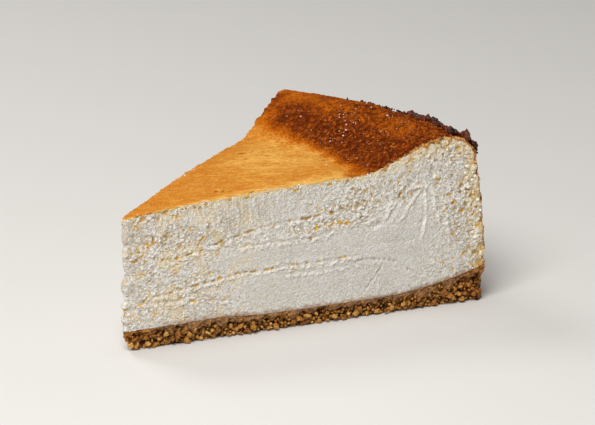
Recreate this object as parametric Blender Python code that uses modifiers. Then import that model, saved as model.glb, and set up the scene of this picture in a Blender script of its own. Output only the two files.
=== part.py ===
"""One slice of a baked cheesecake: a tall cheese filling with a browned, dished top on a biscuit crumb base.

The whole cake is turned about its own axis, a wedge-shaped block cuts the slice out of it, and the cut faces,
the rim and the crumbs then get their relief. Metres, +Z up, the tip towards -X and the rim towards +X.
Run it with: blender --background --python part.py
"""

import math
import random

import bmesh
import bpy
from mathutils import Vector, noise

MM = 0.001

# The whole cake, and the slice cut from it
CAKE_RADIUS = 117 * MM
SLICE_ANGLE = math.radians(38.5)
FILLING_TIP = 0.7 * MM
BASE_TIP = 1.5 * MM
CAKE_STEPS = 150

# Heights of the filling's top above the table, from the middle of the cake outwards
CENTRE_HEIGHT = 39.3 * MM
DISH_HEIGHT = 43.3 * MM
CREST_HEIGHT = 52.0 * MM
SHOULDER_HEIGHT = 44.0 * MM
DISH_RADIUS = 74 * MM
CREST_RADIUS = 103 * MM
SHOULDER_START = 104 * MM
SHOULDER_END = 113 * MM
SIDE_FOOT_HEIGHT = 15 * MM

# The crumb base, which curls up a little where it was pressed against the tin
BASE_THICKNESS = 6.1 * MM
CURB_THICKNESS = 11.0 * MM
CURB_START = 96 * MM
LAYER_GAP = 0.35 * MM
CRUMB_BAND = 3.4 * MM
CRUMB_UNDERCUT = 1.5 * MM
FOOT_HEIGHT = 4.6 * MM
FOOT_SETBACK = 1.8 * MM

# Burnt crags along the outer edge of the rim, and crumbs along the foot of the base
CRAG_COUNT = 34
CRAG_RADIUS = (1.3 * MM, 2.2 * MM)
CRAG_ROWS = ((0.42, 0.66), (0.66, 0.95))
CRUMB_PITCH = 3.6 * MM
CRUMB_RADIUS = (1.1 * MM, 1.8 * MM)

# Detail of the finished solids
VOXEL = 0.8 * MM
THINNING_ERROR = 0.12 * MM
FILLING_TRIANGLES = 4800
BASE_TRIANGLES = 3600
SEED = 11


def tip_distance(bluntness):
    """Distance from the cake's axis to a tip that is rounded to this radius."""
    return bluntness / math.sin(SLICE_ANGLE / 2) - bluntness


# The cake's axis stands just before the tip, so that the middle of the slice comes to the origin
AXIS = Vector((-(CAKE_RADIUS + tip_distance(FILLING_TIP)) / 2, 0, 0))


def smooth_step(low, high, value):
    """0 below low, 1 above high, and an even S-curve between them."""
    share = min(max((value - low) / (high - low), 0), 1)
    return share * share * (3 - 2 * share)


def top_height(radius):
    """Height of the baked top: a dish that sinks towards the middle, a risen rim and a rounded shoulder."""
    if radius > SHOULDER_START:
        share = min((radius - SHOULDER_START) / (SHOULDER_END - SHOULDER_START), 1)
        return CREST_HEIGHT - (CREST_HEIGHT - SHOULDER_HEIGHT) * (1 - math.sqrt(1 - share * share))
    inward = max(1 - radius / DISH_RADIUS, 0)
    dish = DISH_HEIGHT - (DISH_HEIGHT - CENTRE_HEIGHT) * inward * inward
    return dish + (CREST_HEIGHT - dish) * smooth_step(DISH_RADIUS, CREST_RADIUS, radius)


def shoulder_point(turn):
    """(radius, height) on the rounded shoulder, from 0 at the crest to 1 at the side."""
    radius = SHOULDER_START + (SHOULDER_END - SHOULDER_START) * math.sin(turn * math.pi / 2)
    return radius, top_height(radius)


def base_height(radius):
    """Height of the crumb base's upper side."""
    curl = max((radius - CURB_START) / (CAKE_RADIUS - CURB_START), 0)
    return BASE_THICKNESS + (CURB_THICKNESS - BASE_THICKNESS) * curl * curl


def side_radius(height):
    """Radius of the outer side, which shrank a little from the tin towards the top."""
    share = max((height - SIDE_FOOT_HEIGHT) / (SHOULDER_HEIGHT - SIDE_FOOT_HEIGHT), 0)
    return CAKE_RADIUS - (CAKE_RADIUS - SHOULDER_END) * share ** 1.5


def spaced(first, last, count):
    """count values from first to last, both included."""
    return [first + (last - first) * i / (count - 1) for i in range(count)]


def filling_profile():
    """(radius, height) points down the outside of the filling, from the axis over the top and back underneath."""
    top = [(r, top_height(r)) for r in spaced(0, SHOULDER_START, 28)]
    shoulder = [shoulder_point(turn) for turn in spaced(0.14, 1, 7)]
    foot = base_height(CAKE_RADIUS) + LAYER_GAP
    side = [(side_radius(z), z) for z in spaced(SHOULDER_HEIGHT - MM, foot, 10)]
    under = [(r, base_height(r) + LAYER_GAP) for r in spaced(CAKE_RADIUS - MM, CURB_START, 7)]
    return top + shoulder + side + under + [(0, BASE_THICKNESS + LAYER_GAP)]


def base_profile():
    """(radius, height) points of the crumb base, from the axis over its upper side to the table."""
    top = [(r, base_height(r)) for r in [0] + spaced(CURB_START, CAKE_RADIUS, 7)]
    foot = CAKE_RADIUS - FOOT_SETBACK
    return top + [(CAKE_RADIUS, FOOT_HEIGHT + MM), (foot, FOOT_HEIGHT), (foot, 0), (0, 0)]


def turned_cake(name, profile, collection):
    """A whole round layer of the cake: the profile with a Screw modifier, on the cake's axis."""
    mesh = bpy.data.meshes.new(name)
    points = [(r, 0, z) for r, z in profile]
    mesh.from_pydata(points, [(i, i + 1) for i in range(len(points) - 1)], [])
    cake = bpy.data.objects.new(name, mesh)
    cake.location = AXIS
    collection.objects.link(cake)
    screw = cake.modifiers.new("turn", "SCREW")
    screw.steps = screw.render_steps = CAKE_STEPS
    screw.use_merge_vertices = True
    screw.merge_threshold = 0.00005
    return cake


def slice_outline(bluntness):
    """The slice seen from above: round its blunt tip, then out past the side of the cake."""
    half = SLICE_ANGLE / 2
    reach = CAKE_RADIUS * 1.2
    middle = bluntness / math.sin(half)
    tip = [
        (middle - bluntness * math.cos(a), bluntness * math.sin(a))
        for a in spaced(half - math.pi / 2, math.pi / 2 - half, 5)
    ]
    return tip + [(reach * math.cos(half), side * reach * math.sin(half)) for side in (1, -1)]


def slice_block(name, bluntness, collection):
    """The wedge-shaped block that the knife's two cuts leave, taller than the cake."""
    curve = bpy.data.curves.new(name, "CURVE")
    curve.dimensions = "2D"
    curve.fill_mode = "BOTH"
    curve.extrude = CREST_HEIGHT
    outline = slice_outline(bluntness)
    spline = curve.splines.new("POLY")
    spline.points.add(len(outline) - 1)
    spline.use_cyclic_u = True
    for point, (x, y) in zip(spline.points, outline):
        point.co = (x, y, 0, 1)
    drawn = bpy.data.objects.new(name, curve)
    collection.objects.link(drawn)
    drawn.location = AXIS
    baked = baked_mesh(drawn)
    bpy.data.objects.remove(drawn)
    weld(baked)
    block = bpy.data.objects.new(name, baked)
    block.hide_render = True
    block.display_type = "WIRE"
    collection.objects.link(block)
    return block


def lump(name, place, radius, squash, collection):
    """One uneven lump, a coarse ball pressed flat and turned at random."""
    edit = bmesh.new()
    bmesh.ops.create_icosphere(edit, subdivisions=1, radius=radius)
    turn = Vector([random.uniform(-1, 1) for _ in range(3)]).to_track_quat("Z", "Y")
    for vertex in edit.verts:
        vertex.co = turn @ Vector((vertex.co.x, vertex.co.y * squash, vertex.co.z))
    mesh = bpy.data.meshes.new(name)
    edit.to_mesh(mesh)
    edit.free()
    ball = bpy.data.objects.new(name, mesh)
    ball.location = AXIS + place
    collection.objects.link(ball)


def burnt_crags(collection):
    """Lumps of burnt filling that stuck to the tin, all along the outer edge of the rim."""
    half = SLICE_ANGLE / 2 - 0.016
    for row, turns in enumerate(CRAG_ROWS):
        for i in range(CRAG_COUNT):
            angle = -half + 2 * half * (i + random.uniform(0.1, 0.9)) / CRAG_COUNT
            # The crags are largest at the cut that faces -Y and get smaller towards the other one
            size = random.uniform(*CRAG_RADIUS) * (1 - 0.3 * (angle + half) / (2 * half))
            turn = random.uniform(*turns)
            proud = size * random.uniform(0.15, 0.55)
            radius, height = shoulder_point(turn)
            radius += proud * math.sin(turn * math.pi / 2)
            height += proud * math.cos(turn * math.pi / 2)
            place = Vector((radius * math.cos(angle), radius * math.sin(angle), height))
            lump(f"crag_{row}_{i:02d}", place, size, random.uniform(0.7, 1), collection)


def foot_points():
    """Points spaced along the two cuts and the outer side, with the direction that faces out there."""
    half = SLICE_ANGLE / 2
    along_cut = spaced(9 * MM, CAKE_RADIUS - 4 * MM, round(CAKE_RADIUS / CRUMB_PITCH) - 3)
    for side in (-1, 1):
        for r in along_cut:
            out = Vector((-math.sin(half), side * math.cos(half), 0))
            yield Vector((r * math.cos(half), side * r * math.sin(half), 0)), out
    arc_count = round(CAKE_RADIUS * SLICE_ANGLE / CRUMB_PITCH) - 1
    for angle in spaced(-half + 0.03, half - 0.03, arc_count):
        out = Vector((math.cos(angle), math.sin(angle), 0))
        yield out * (CAKE_RADIUS - FOOT_SETBACK), out


def base_crumbs(collection):
    """Larger biscuit crumbs that stand out along the foot of the base."""
    for i, (point, out) in enumerate(foot_points()):
        radius = random.uniform(*CRUMB_RADIUS)
        height = Vector((0, 0, random.uniform(radius * 0.9, CRUMB_BAND)))
        sunk = -out * (radius * 0.2 + random.uniform(0.4, 1.1) * MM)
        lump(f"crumb_{i:03d}", point + height + sunk, radius, random.uniform(0.75, 1), collection)


def add_boolean(target, name, operation, cutter=None, collection=None):
    """One Boolean with a cutter, or with all the lumps of a collection."""
    modifier = target.modifiers.new(name, "BOOLEAN")
    modifier.operation = operation
    modifier.solver = "EXACT"
    if collection:
        modifier.operand_type = "COLLECTION"
        modifier.collection = collection
    else:
        modifier.object = cutter


def baked_mesh(target):
    """The object's evaluated shape as a new mesh in world space."""
    graph = bpy.context.evaluated_depsgraph_get()
    mesh = bpy.data.meshes.new_from_object(target.evaluated_get(graph))
    mesh.transform(target.matrix_world)
    return mesh


def apply_modifiers(target):
    """Gives the object its evaluated shape as its own mesh, with no modifier left on it."""
    target.data = baked_mesh(target)
    target.modifiers.clear()
    target.location = (0, 0, 0)


def weld(mesh):
    """Joins the loose caps of a filled curve to its walls, with all faces pointing out."""
    edit = bmesh.new()
    edit.from_mesh(mesh)
    bmesh.ops.remove_doubles(edit, verts=edit.verts, dist=0.00001)
    bmesh.ops.recalc_face_normals(edit, faces=edit.faces)
    edit.to_mesh(mesh)
    edit.free()


def clear_lumps(collection):
    for ball in list(collection.objects):
        bpy.data.objects.remove(ball)
    bpy.data.collections.remove(collection)


def rough(point, along, across, seed):
    """Noise from -1 to 1 whose features are along wide in X and Y, and across high."""
    return noise.noise(Vector((point.x / along, point.y / along, point.z / across + seed)))


def cut_relief(point):
    """How far a cut face stands out: long drag ridges from the knife, and tears between them."""
    ridges = 0.55 * MM * rough(point, 34 * MM, 3.2 * MM, 3)
    tears = 0.45 * MM * rough(point, 6 * MM, 4.5 * MM, 17)
    return ridges + tears


def relief_filling(point, normal):
    """The filling's uneven surface: dragged cuts, a wrinkled skin on top and a pitted outer side."""
    radius = (point - AXIS).xy.length
    if normal.z > 0.5:
        risen = smooth_step(DISH_RADIUS, CREST_RADIUS, radius)
        return (0.3 + 0.3 * risen) * MM * rough(point, 9 * MM, 9 * MM, 31)
    if radius > SHOULDER_START and normal.x > 0.6:
        return 0.5 * MM * rough(point, 5 * MM, 5 * MM, 47)
    return cut_relief(point)


def relief_base(point, normal):
    """The base's sides: firm at the top, and undercut between loose crumbs near the table."""
    if abs(normal.z) > 0.7:
        return 0
    loose = 1 - smooth_step(CRUMB_BAND - MM, CRUMB_BAND + MM, point.z)
    pits = max(rough(point, 3.4 * MM, 3.4 * MM, 59) + 0.25, 0)
    return 0.35 * MM * rough(point, 4 * MM, 4 * MM, 71) - CRUMB_UNDERCUT * loose * pits


def hold_between(mesh, low_limit, high_limit, reach):
    """Puts what faces down or up, and is within reach of the layer's lower or upper limit, exactly on it."""
    held = []
    for vertex in mesh.vertices:
        place = vertex.co.copy()
        radius = (place - AXIS).xy.length
        low, high = low_limit(radius), high_limit(radius)
        if place.z < low or vertex.normal.z < -0.5 and place.z < low + reach:
            place.z = low
        if place.z > high or vertex.normal.z > 0.5 and place.z > high - reach:
            place.z = high
        held.append(place)
    for vertex, place in zip(mesh.vertices, held):
        vertex.co = place


def shape_layer(target, relief, low_limit, high_limit, triangles):
    """Melts the lumps in, adds the relief, holds the layer between its two limits and thins the mesh."""
    remesh = target.modifiers.new("melt", "REMESH")
    remesh.mode = "VOXEL"
    remesh.voxel_size = VOXEL
    apply_modifiers(target)
    hold_between(target.data, low_limit, high_limit, VOXEL)
    moved = [v.co + v.normal * relief(v.co, v.normal) for v in target.data.vertices]
    for vertex, place in zip(target.data.vertices, moved):
        vertex.co = place
    hold_between(target.data, low_limit, high_limit, VOXEL)
    thin = target.modifiers.new("thin", "DECIMATE")
    thin.ratio = triangles / (2 * len(target.data.polygons))
    thin.use_collapse_triangulate = True
    apply_modifiers(target)
    hold_between(target.data, low_limit, high_limit, THINNING_ERROR)


def principled(name, colour, roughness):
    material = bpy.data.materials.new(name)
    material.use_nodes = True
    shader = material.node_tree.nodes["Principled BSDF"]
    shader.inputs["Base Color"].default_value = (*colour, 1)
    shader.inputs["Roughness"].default_value = roughness
    shader.inputs["Metallic"].default_value = 0
    return material


def finish_layer(target, material):
    """Gives the layer its material, and smooth shading between its sharper edges."""
    target.data.materials.clear()
    target.data.materials.append(material)
    target.data.shade_smooth()
    target.data.set_sharp_from_angle(angle=math.radians(40))


def build_filling(parts, cutters):
    """The cheese filling, with its browned top and the burnt crags of its rim."""
    random.seed(SEED)
    crags = bpy.data.collections.new("crags")
    cutters.children.link(crags)
    burnt_crags(crags)
    filling = turned_cake("cheese_filling", filling_profile(), parts)
    block = slice_block("filling_block", FILLING_TIP, cutters)
    add_boolean(filling, "cut_slice", "INTERSECT", cutter=block)
    add_boolean(filling, "join_crags", "UNION", collection=crags)
    shape_layer(
        filling,
        relief_filling,
        low_limit=lambda radius: base_height(radius) + LAYER_GAP,
        high_limit=lambda radius: math.inf,
        triangles=FILLING_TRIANGLES,
    )
    clear_lumps(crags)
    finish_layer(filling, principled("baked_cheese", (0.86, 0.82, 0.72), 0.55))


def build_base(parts, cutters):
    """The crumb base, flat underneath, with crumbs standing out along its foot."""
    random.seed(SEED + 1)
    crumbs = bpy.data.collections.new("crumbs")
    cutters.children.link(crumbs)
    base_crumbs(crumbs)
    base = turned_cake("biscuit_base", base_profile(), parts)
    block = slice_block("base_block", BASE_TIP, cutters)
    add_boolean(base, "cut_slice", "INTERSECT", cutter=block)
    add_boolean(base, "join_crumbs", "UNION", collection=crumbs)
    shape_layer(
        base,
        relief_base,
        low_limit=lambda radius: 0,
        high_limit=base_height,
        triangles=BASE_TRIANGLES,
    )
    clear_lumps(crumbs)
    finish_layer(base, principled("biscuit_crumb", (0.45, 0.25, 0.11), 0.8))


def main():
    for old in list(bpy.data.objects):
        bpy.data.objects.remove(old)
    parts = bpy.data.collections.new("cheesecake_slice")
    cutters = bpy.data.collections.new("cutters")
    for collection in (parts, cutters):
        bpy.context.scene.collection.children.link(collection)
    build_filling(parts, cutters)
    build_base(parts, cutters)


main()
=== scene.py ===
"""A slice of baked cheesecake, dressed for close viewing: a torn and dragged cut, a browned skin over the
dish and the risen rim, burnt crags along the outer edge, and a base of pressed biscuit crumbs.

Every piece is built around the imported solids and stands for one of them. Lengths are millimetres, apart from
the sizes in the panel, which are metres.
"""

import math
from collections import namedtuple

import bmesh
import bpy
import numpy as np
from mathutils import Matrix, Vector, noise


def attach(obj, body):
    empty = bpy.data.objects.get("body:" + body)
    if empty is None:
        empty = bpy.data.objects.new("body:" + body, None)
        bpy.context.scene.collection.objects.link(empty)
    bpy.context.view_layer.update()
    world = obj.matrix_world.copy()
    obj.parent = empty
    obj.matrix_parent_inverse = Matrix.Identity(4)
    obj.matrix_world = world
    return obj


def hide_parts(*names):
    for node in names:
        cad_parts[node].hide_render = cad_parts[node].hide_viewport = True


bl_info = {
    "name": "Baked cheesecake slice",
    "version": (1, 0, 0),
    "blender": (4, 5, 0),
    "location": "View3D > Sidebar > Cheesecake",
    "description": "Builds the looks of one slice of baked cheesecake around its solids",
    "category": "Add Mesh",
}

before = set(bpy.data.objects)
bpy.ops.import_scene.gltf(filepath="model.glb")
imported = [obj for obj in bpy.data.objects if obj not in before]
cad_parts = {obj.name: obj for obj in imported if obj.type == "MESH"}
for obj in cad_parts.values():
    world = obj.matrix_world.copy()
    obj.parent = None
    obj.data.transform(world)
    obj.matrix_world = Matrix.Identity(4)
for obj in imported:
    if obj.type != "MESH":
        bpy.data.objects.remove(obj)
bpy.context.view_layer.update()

MM = 0.001
FILLING = "cheese_filling"
BASE = "biscuit_base"

# The two cuts: the one that the photo shows faces -Y
NEAR = -1
FAR = 1

# How finely the visible surfaces are divided
CUT_COLUMNS = 450
CUT_ROWS = 172
SIDE_COLUMNS = 250
SIDE_ROWS = 112
SKIN_DISH_COLUMNS = 130
SKIN_RIM_COLUMNS = 165
SKIN_ARC = 205
SKIN_EDGE_ROWS = 4
BASE_COLUMNS = 400
BASE_ROWS = 24
BASE_ARC = 250
CURD_STEP = 2
CRAG_ROWS = 7

# The cake's outline where no user would change it
SHOULDER_WIDTH = 9.0
SHOULDER_DROP = 8.0
SHOULDER_INSET = 4.0
SIDE_FOOT = 15.0
DISH_RADIUS = 74.0
CREST_RADIUS = 103.0
CURB_START = 92.0
BASE_SAG = 0.9
LAYER_GAP = 0.1
SKIN_TUCK = 0.2
SKIN_ROOT = 4.0
SKIN_INSET = 2.2
PANEL_DEPTH = 2.5
PANEL_SHY = 1.8
CORNER_REACH = 2.5

# Where along the slice the crumbs start to be caramelised, and where they are so in full
CARAMEL_START = 38.0
CARAMEL_FULL = 52.0
FLOOR_SHADE = (0.7, 0.69, 0.67)

# A mark that the knife left: its path as (radius, height) points, half width, depth, lip, and ochre dashes
Mark = namedtuple("Mark", "path width depth lip ochre")
# A pit of the cut: its place, half length, half height, tilt in degrees, and how ochre it is inside
Pit = namedtuple("Pit", "radius height long high tilt ochre")
# A patch of the cut: its place, half sizes, and how much more torn it is than the rest
Patch = namedtuple("Patch", "radius height wide high torn")
# Everything that tells one cut from the other; its ridges are paths of thin folds that the knife pulled up
CutPlan = namedtuple("CutPlan", "side marks pits patches ridges seed")

NEAR_MARKS = [Mark(*row) for row in (
    ([(16, 25.5), (21.4, 26.6), (25.0, 27.4), (37.2, 30.4), (45.9, 31.9), (58.5, 32.8), (66.1, 33.4)],
     0.5, 0.55, 0.4, 0.9),
    ([(12, 15.5), (26.2, 17.4), (36.7, 18.8), (49.6, 19.1), (64.2, 19.1), (73.0, 19.3)],
     0.45, 0.5, 0.5, 0.9),
    ([(73.6, 17.8), (80.0, 17.6), (85.1, 16.5), (89.5, 14.5), (92.6, 12.1)], 0.45, 0.8, 0.15, 0.0),
    ([(7.4, 14.0), (17.9, 13.2), (31.6, 11.6)], 0.45, 0.35, 0.35, 0.8),
    ([(38.0, 26.6), (46.0, 26.9), (54.4, 26.6), (60.0, 26.6), (66.0, 27.6)], 0.5, 0.35, 0.55, 0.4),
    ([(52.0, 16.6), (62.0, 16.3), (74.0, 16.9)], 0.5, 0.15, 0.4, 0.0),
    ([(92.0, 39.5), (88.3, 36.1), (86.0, 31.6), (83.4, 28.3), (79.0, 27.4)], 0.8, 0.8, 0.35, 0.3),
    ([(82.2, 14.3), (80.1, 11.4), (77.4, 8.1)], 0.35, 0.9, 0.15, 0.0),
    ([(96.5, 35.2), (96.2, 28.9), (94.9, 21.8)], 0.6, 0.5, 0.1, 0.0),
    ([(100.0, 44.4), (104.5, 43.6), (110.0, 44.0)], 0.35, 0.3, 0.1, 0.3),
)]
NEAR_PITS = [Pit(*row) for row in (
    (7.2, 38.6, 0.9, 0.9, 0, 1.0), (4.8, 36.9, 0.5, 0.6, 0, 0.9), (14.4, 39.6, 0.6, 0.7, 0, 1.0),
    (19.7, 40.2, 1.0, 0.5, 0, 1.0), (23.0, 40.4, 0.7, 0.5, 0, 0.9), (26.6, 40.7, 0.7, 0.5, 0, 0.9),
    (33.9, 41.2, 0.8, 0.5, 0, 0.9), (39.0, 41.4, 0.8, 0.5, 0, 1.0), (17.5, 38.2, 0.35, 0.75, 0, 0.8),
    (46.0, 41.8, 0.7, 0.4, 0, 0.9), (53.0, 42.0, 0.9, 0.4, 0, 0.8), (11.0, 39.2, 0.5, 0.4, 0, 0.9),
    (10.5, 38.4, 0.6, 0.4, 0, 0.5), (10.3, 31.9, 0.6, 1.7, 0, 0.7), (13.9, 33.1, 0.9, 0.35, 45, 0.7),
    (13.1, 31.1, 0.6, 0.6, 0, 0.7), (18.6, 29.3, 1.0, 0.9, 20, 0.6), (25.5, 30.7, 1.2, 0.4, 35, 0.9),
    (21.4, 26.6, 1.0, 0.35, 35, 0.9), (25.0, 26.9, 1.3, 0.4, 40, 0.9), (13.4, 26.0, 0.9, 0.4, 20, 0.9),
    (10.7, 26.7, 0.5, 0.9, 0, 0.7), (4.5, 26.7, 1.2, 0.7, 10, 1.0), (7.9, 26.1, 0.8, 0.4, -20, 0.9),
    (4.4, 22.5, 0.5, 0.4, 0, 0.7), (9.6, 22.3, 0.5, 0.4, 0, 0.7), (58.3, 32.6, 2.0, 0.5, 12, 1.0),
    (66.1, 33.3, 0.8, 0.6, 12, 1.0), (65.5, 42.0, 1.2, 0.5, 10, 1.0), (68.4, 42.6, 1.1, 0.5, 0, 0.9),
    (71.2, 42.4, 0.6, 0.8, 0, 0.9), (73.9, 37.6, 0.4, 1.7, 0, 0.5), (77.7, 38.5, 0.6, 1.1, 0, 0.5),
    (74.4, 34.6, 0.9, 1.2, 0, 0.55), (72.6, 33.9, 0.9, 0.6, -30, 0.5), (75.8, 30.7, 0.7, 0.5, 20, 0.9),
    (69.9, 29.5, 0.8, 0.4, 20, 0.6), (59.5, 26.3, 0.5, 0.5, 0, 0.8), (103.7, 49.2, 1.6, 0.5, 25, 0.7),
    (107.2, 47.8, 0.9, 0.7, -20, 0.9), (107.9, 45.9, 0.8, 0.45, 0, 0.9), (104.7, 46.9, 0.8, 1.3, 0, 0.1),
    (94.7, 47.6, 1.1, 0.35, 20, 0.7), (90.9, 45.6, 1.2, 0.35, 25, 0.7), (99.1, 41.6, 1.3, 1.5, 0, 0.1),
    (88.3, 36.1, 0.5, 1.3, -20, 1.0), (108.6, 36.3, 0.9, 0.9, 30, 0.8), (110.8, 35.0, 0.7, 0.6, 0, 1.0),
    (111.9, 32.7, 0.7, 1.3, 0, 1.0), (105.7, 31.8, 0.5, 0.8, 0, 0.8), (110.1, 30.6, 0.8, 0.8, 0, 0.8),
    (108.7, 28.6, 1.1, 1.0, 0, 0.8), (110.3, 38.6, 0.5, 0.5, 0, 0.8), (113.4, 15.3, 0.9, 0.7, 0, 0.9),
)]
NEAR_PATCHES = [Patch(*row) for row in (
    (14, 29, 13, 5, 0.75), (8, 39, 7, 3, 0.4), (12, 20, 12, 5, 0.3), (20, 13, 16, 2.5, 0.35),
    (72, 35, 9, 6, 0.95), (62, 29.5, 12, 2.0, 0.75), (88, 38, 8, 6, 0.5), (108, 29, 7, 12, 0.75),
    (104, 47, 10, 3.5, 0.85), (113, 15, 4, 7, 0.7), (48, 23.5, 24, 3.0, -0.8), (66, 23.5, 10, 3.0, -0.5),
    (60, 12.5, 30, 5.0, -0.35), (88, 21, 9, 8, -0.7),
)]
NEAR_RIDGES = (
    [(96.6, 37.6), (97.0, 32.7), (97.3, 27.5), (96.1, 23.3)],
    [(99.3, 36.0), (100.1, 32.0), (101.2, 27.4)],
    [(97.5, 37.3), (100.6, 35.5), (103.3, 31.6)],
    [(90.6, 37.2), (93.6, 37.7), (97.1, 37.5)],
    [(94.3, 35.9), (92.0, 33.0), (89.5, 29.7)],
    [(102.4, 32.9), (103.8, 27.9), (104.1, 23.9)],
    [(88.5, 35.8), (86.5, 32.9), (83.8, 29.6)],
)
FAR_MARKS = [Mark(*row) for row in (
    ([(10, 31.0), (34, 33.5), (58, 35.0), (82, 35.5)], 0.5, 0.55, 0.4, 0.8),
    ([(22, 20.0), (48, 21.5), (75, 22.5), (100, 21.0)], 0.5, 0.5, 0.45, 0.8),
    ([(8, 13.0), (30, 12.4), (52, 13.5)], 0.45, 0.35, 0.3, 0.7),
    ([(98, 40.0), (95, 33.0), (90, 28.0)], 0.8, 0.7, 0.3, 0.4),
)]
FAR_PITS = [Pit(*row) for row in (
    (8.0, 39.8, 0.8, 0.7, 0, 1.0), (21.0, 40.9, 0.9, 0.4, 0, 0.9), (42.0, 34.2, 1.8, 0.5, 8, 1.0),
    (18.0, 27.4, 0.9, 0.7, 20, 0.8), (12.0, 23.0, 0.6, 1.2, 0, 0.7), (68.0, 22.4, 1.6, 0.5, 5, 1.0),
    (101.0, 47.6, 1.4, 0.5, 20, 0.8), (108.6, 33.0, 0.8, 0.8, 0, 0.9), (111.0, 24.0, 0.7, 1.1, 0, 0.9),
    (60.0, 41.6, 1.0, 0.5, 0, 0.9), (84.0, 42.0, 0.8, 0.9, 0, 0.6), (30.0, 12.4, 1.2, 0.4, 0, 0.8),
)]
FAR_PATCHES = [Patch(*row) for row in (
    (16, 27, 12, 7, 0.6), (52, 31, 16, 3, 0.5), (104, 42, 10, 8, 0.7), (110, 20, 6, 10, 0.6),
    (70, 14, 28, 5, -0.5), (62, 26.5, 24, 2.6, -0.7), (84, 40, 8, 4, 0.5),
)]
FAR_RIDGES = (
    [(88.0, 36.0), (87.2, 31.0), (88.4, 26.0)],
    [(91.5, 36.5), (92.6, 30.0), (92.0, 25.0)],
    [(84.0, 33.0), (81.5, 29.5), (79.0, 27.5)],
)
NEAR_CUT = CutPlan(NEAR, NEAR_MARKS, NEAR_PITS, NEAR_PATCHES, NEAR_RIDGES, 100)
FAR_CUT = CutPlan(FAR, FAR_MARKS, FAR_PITS, FAR_PATCHES, FAR_RIDGES, 400)

# Small dark scars of the skin: their places from the cake's axis, and half sizes along and across the smear
Scar = namedtuple("Scar", "x y long wide")
SCARS = [Scar(*row) for row in (
    (77.2, -6.1, 1.8, 1.3), (75.3, -6.6, 1.6, 0.8), (53.9, 6.6, 3.2, 0.9), (62.5, 15.0, 3.0, 0.7),
    (66.0, 8.0, 2.2, 0.6), (33.0, -5.5, 5.0, 1.4), (88.5, 23.5, 2.4, 1.2),
)]
SMEAR_TURN = math.radians(-38)


def smooth_step(low, high, value):
    """0 below low, 1 above high, and an even S-curve between them."""
    share = np.clip((value - low) / (high - low), 0, 1)
    return share * share * (3 - 2 * share)


def noise_places(across, up, wide, high, depth):
    """The places in the noise that points of a surface look up."""
    return np.column_stack((across / wide, up / high, np.full(len(across), depth))).tolist()


def wave(across, up, wide, high, seed):
    """Soft noise around 0, with features of the given width and height."""
    return np.array([noise.noise(place) for place in noise_places(across, up, wide, high, seed + 0.37)])


def cells(across, up, size, seed):
    """Distance to the nearest of many scattered centres, in cell sizes."""
    places = noise_places(across, up, size, size, seed + 0.5)
    return np.array([noise.voronoi(place)[0][0] for place in places])


def cell_tones(across, up, size, seed):
    """A number from 0 to 1 for the cell of the nearest centre, the same all over the cell."""
    centres = [noise.voronoi(place)[1][0] for place in noise_places(across, up, size, size, seed + 0.5)]
    return np.array([0.5 + 0.5 * math.sin(97 * sum(centre)) for centre in centres])


def hump(offset, width):
    """A smooth bump of height 1 over an offset of 0, gone past the width."""
    share = np.clip(1 - (offset / width) ** 2, 0, 1)
    return share * share


def along_path(across, up, path):
    """Distance above a path, how far each point is past its ends, and how far along it each point is."""
    best = np.full(len(across), np.inf)
    above = np.zeros(len(across))
    past = np.zeros(len(across))
    along = np.zeros(len(across))
    start = 0
    for (x0, y0), (x1, y1) in zip(path, path[1:]):
        length = math.hypot(x1 - x0, y1 - y0)
        tx, ty = (x1 - x0) / length, (y1 - y0) / length
        run = (across - x0) * tx + (up - y0) * ty
        off = (up - y0) * tx - (across - x0) * ty
        over = np.maximum(np.maximum(-run, run - length), 0)
        distance = np.hypot(off, over)
        closer = distance < best
        best[closer] = distance[closer]
        above[closer] = off[closer]
        past[closer] = over[closer]
        along[closer] = start + run[closer]
        start += length
    return above, past, along


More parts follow.
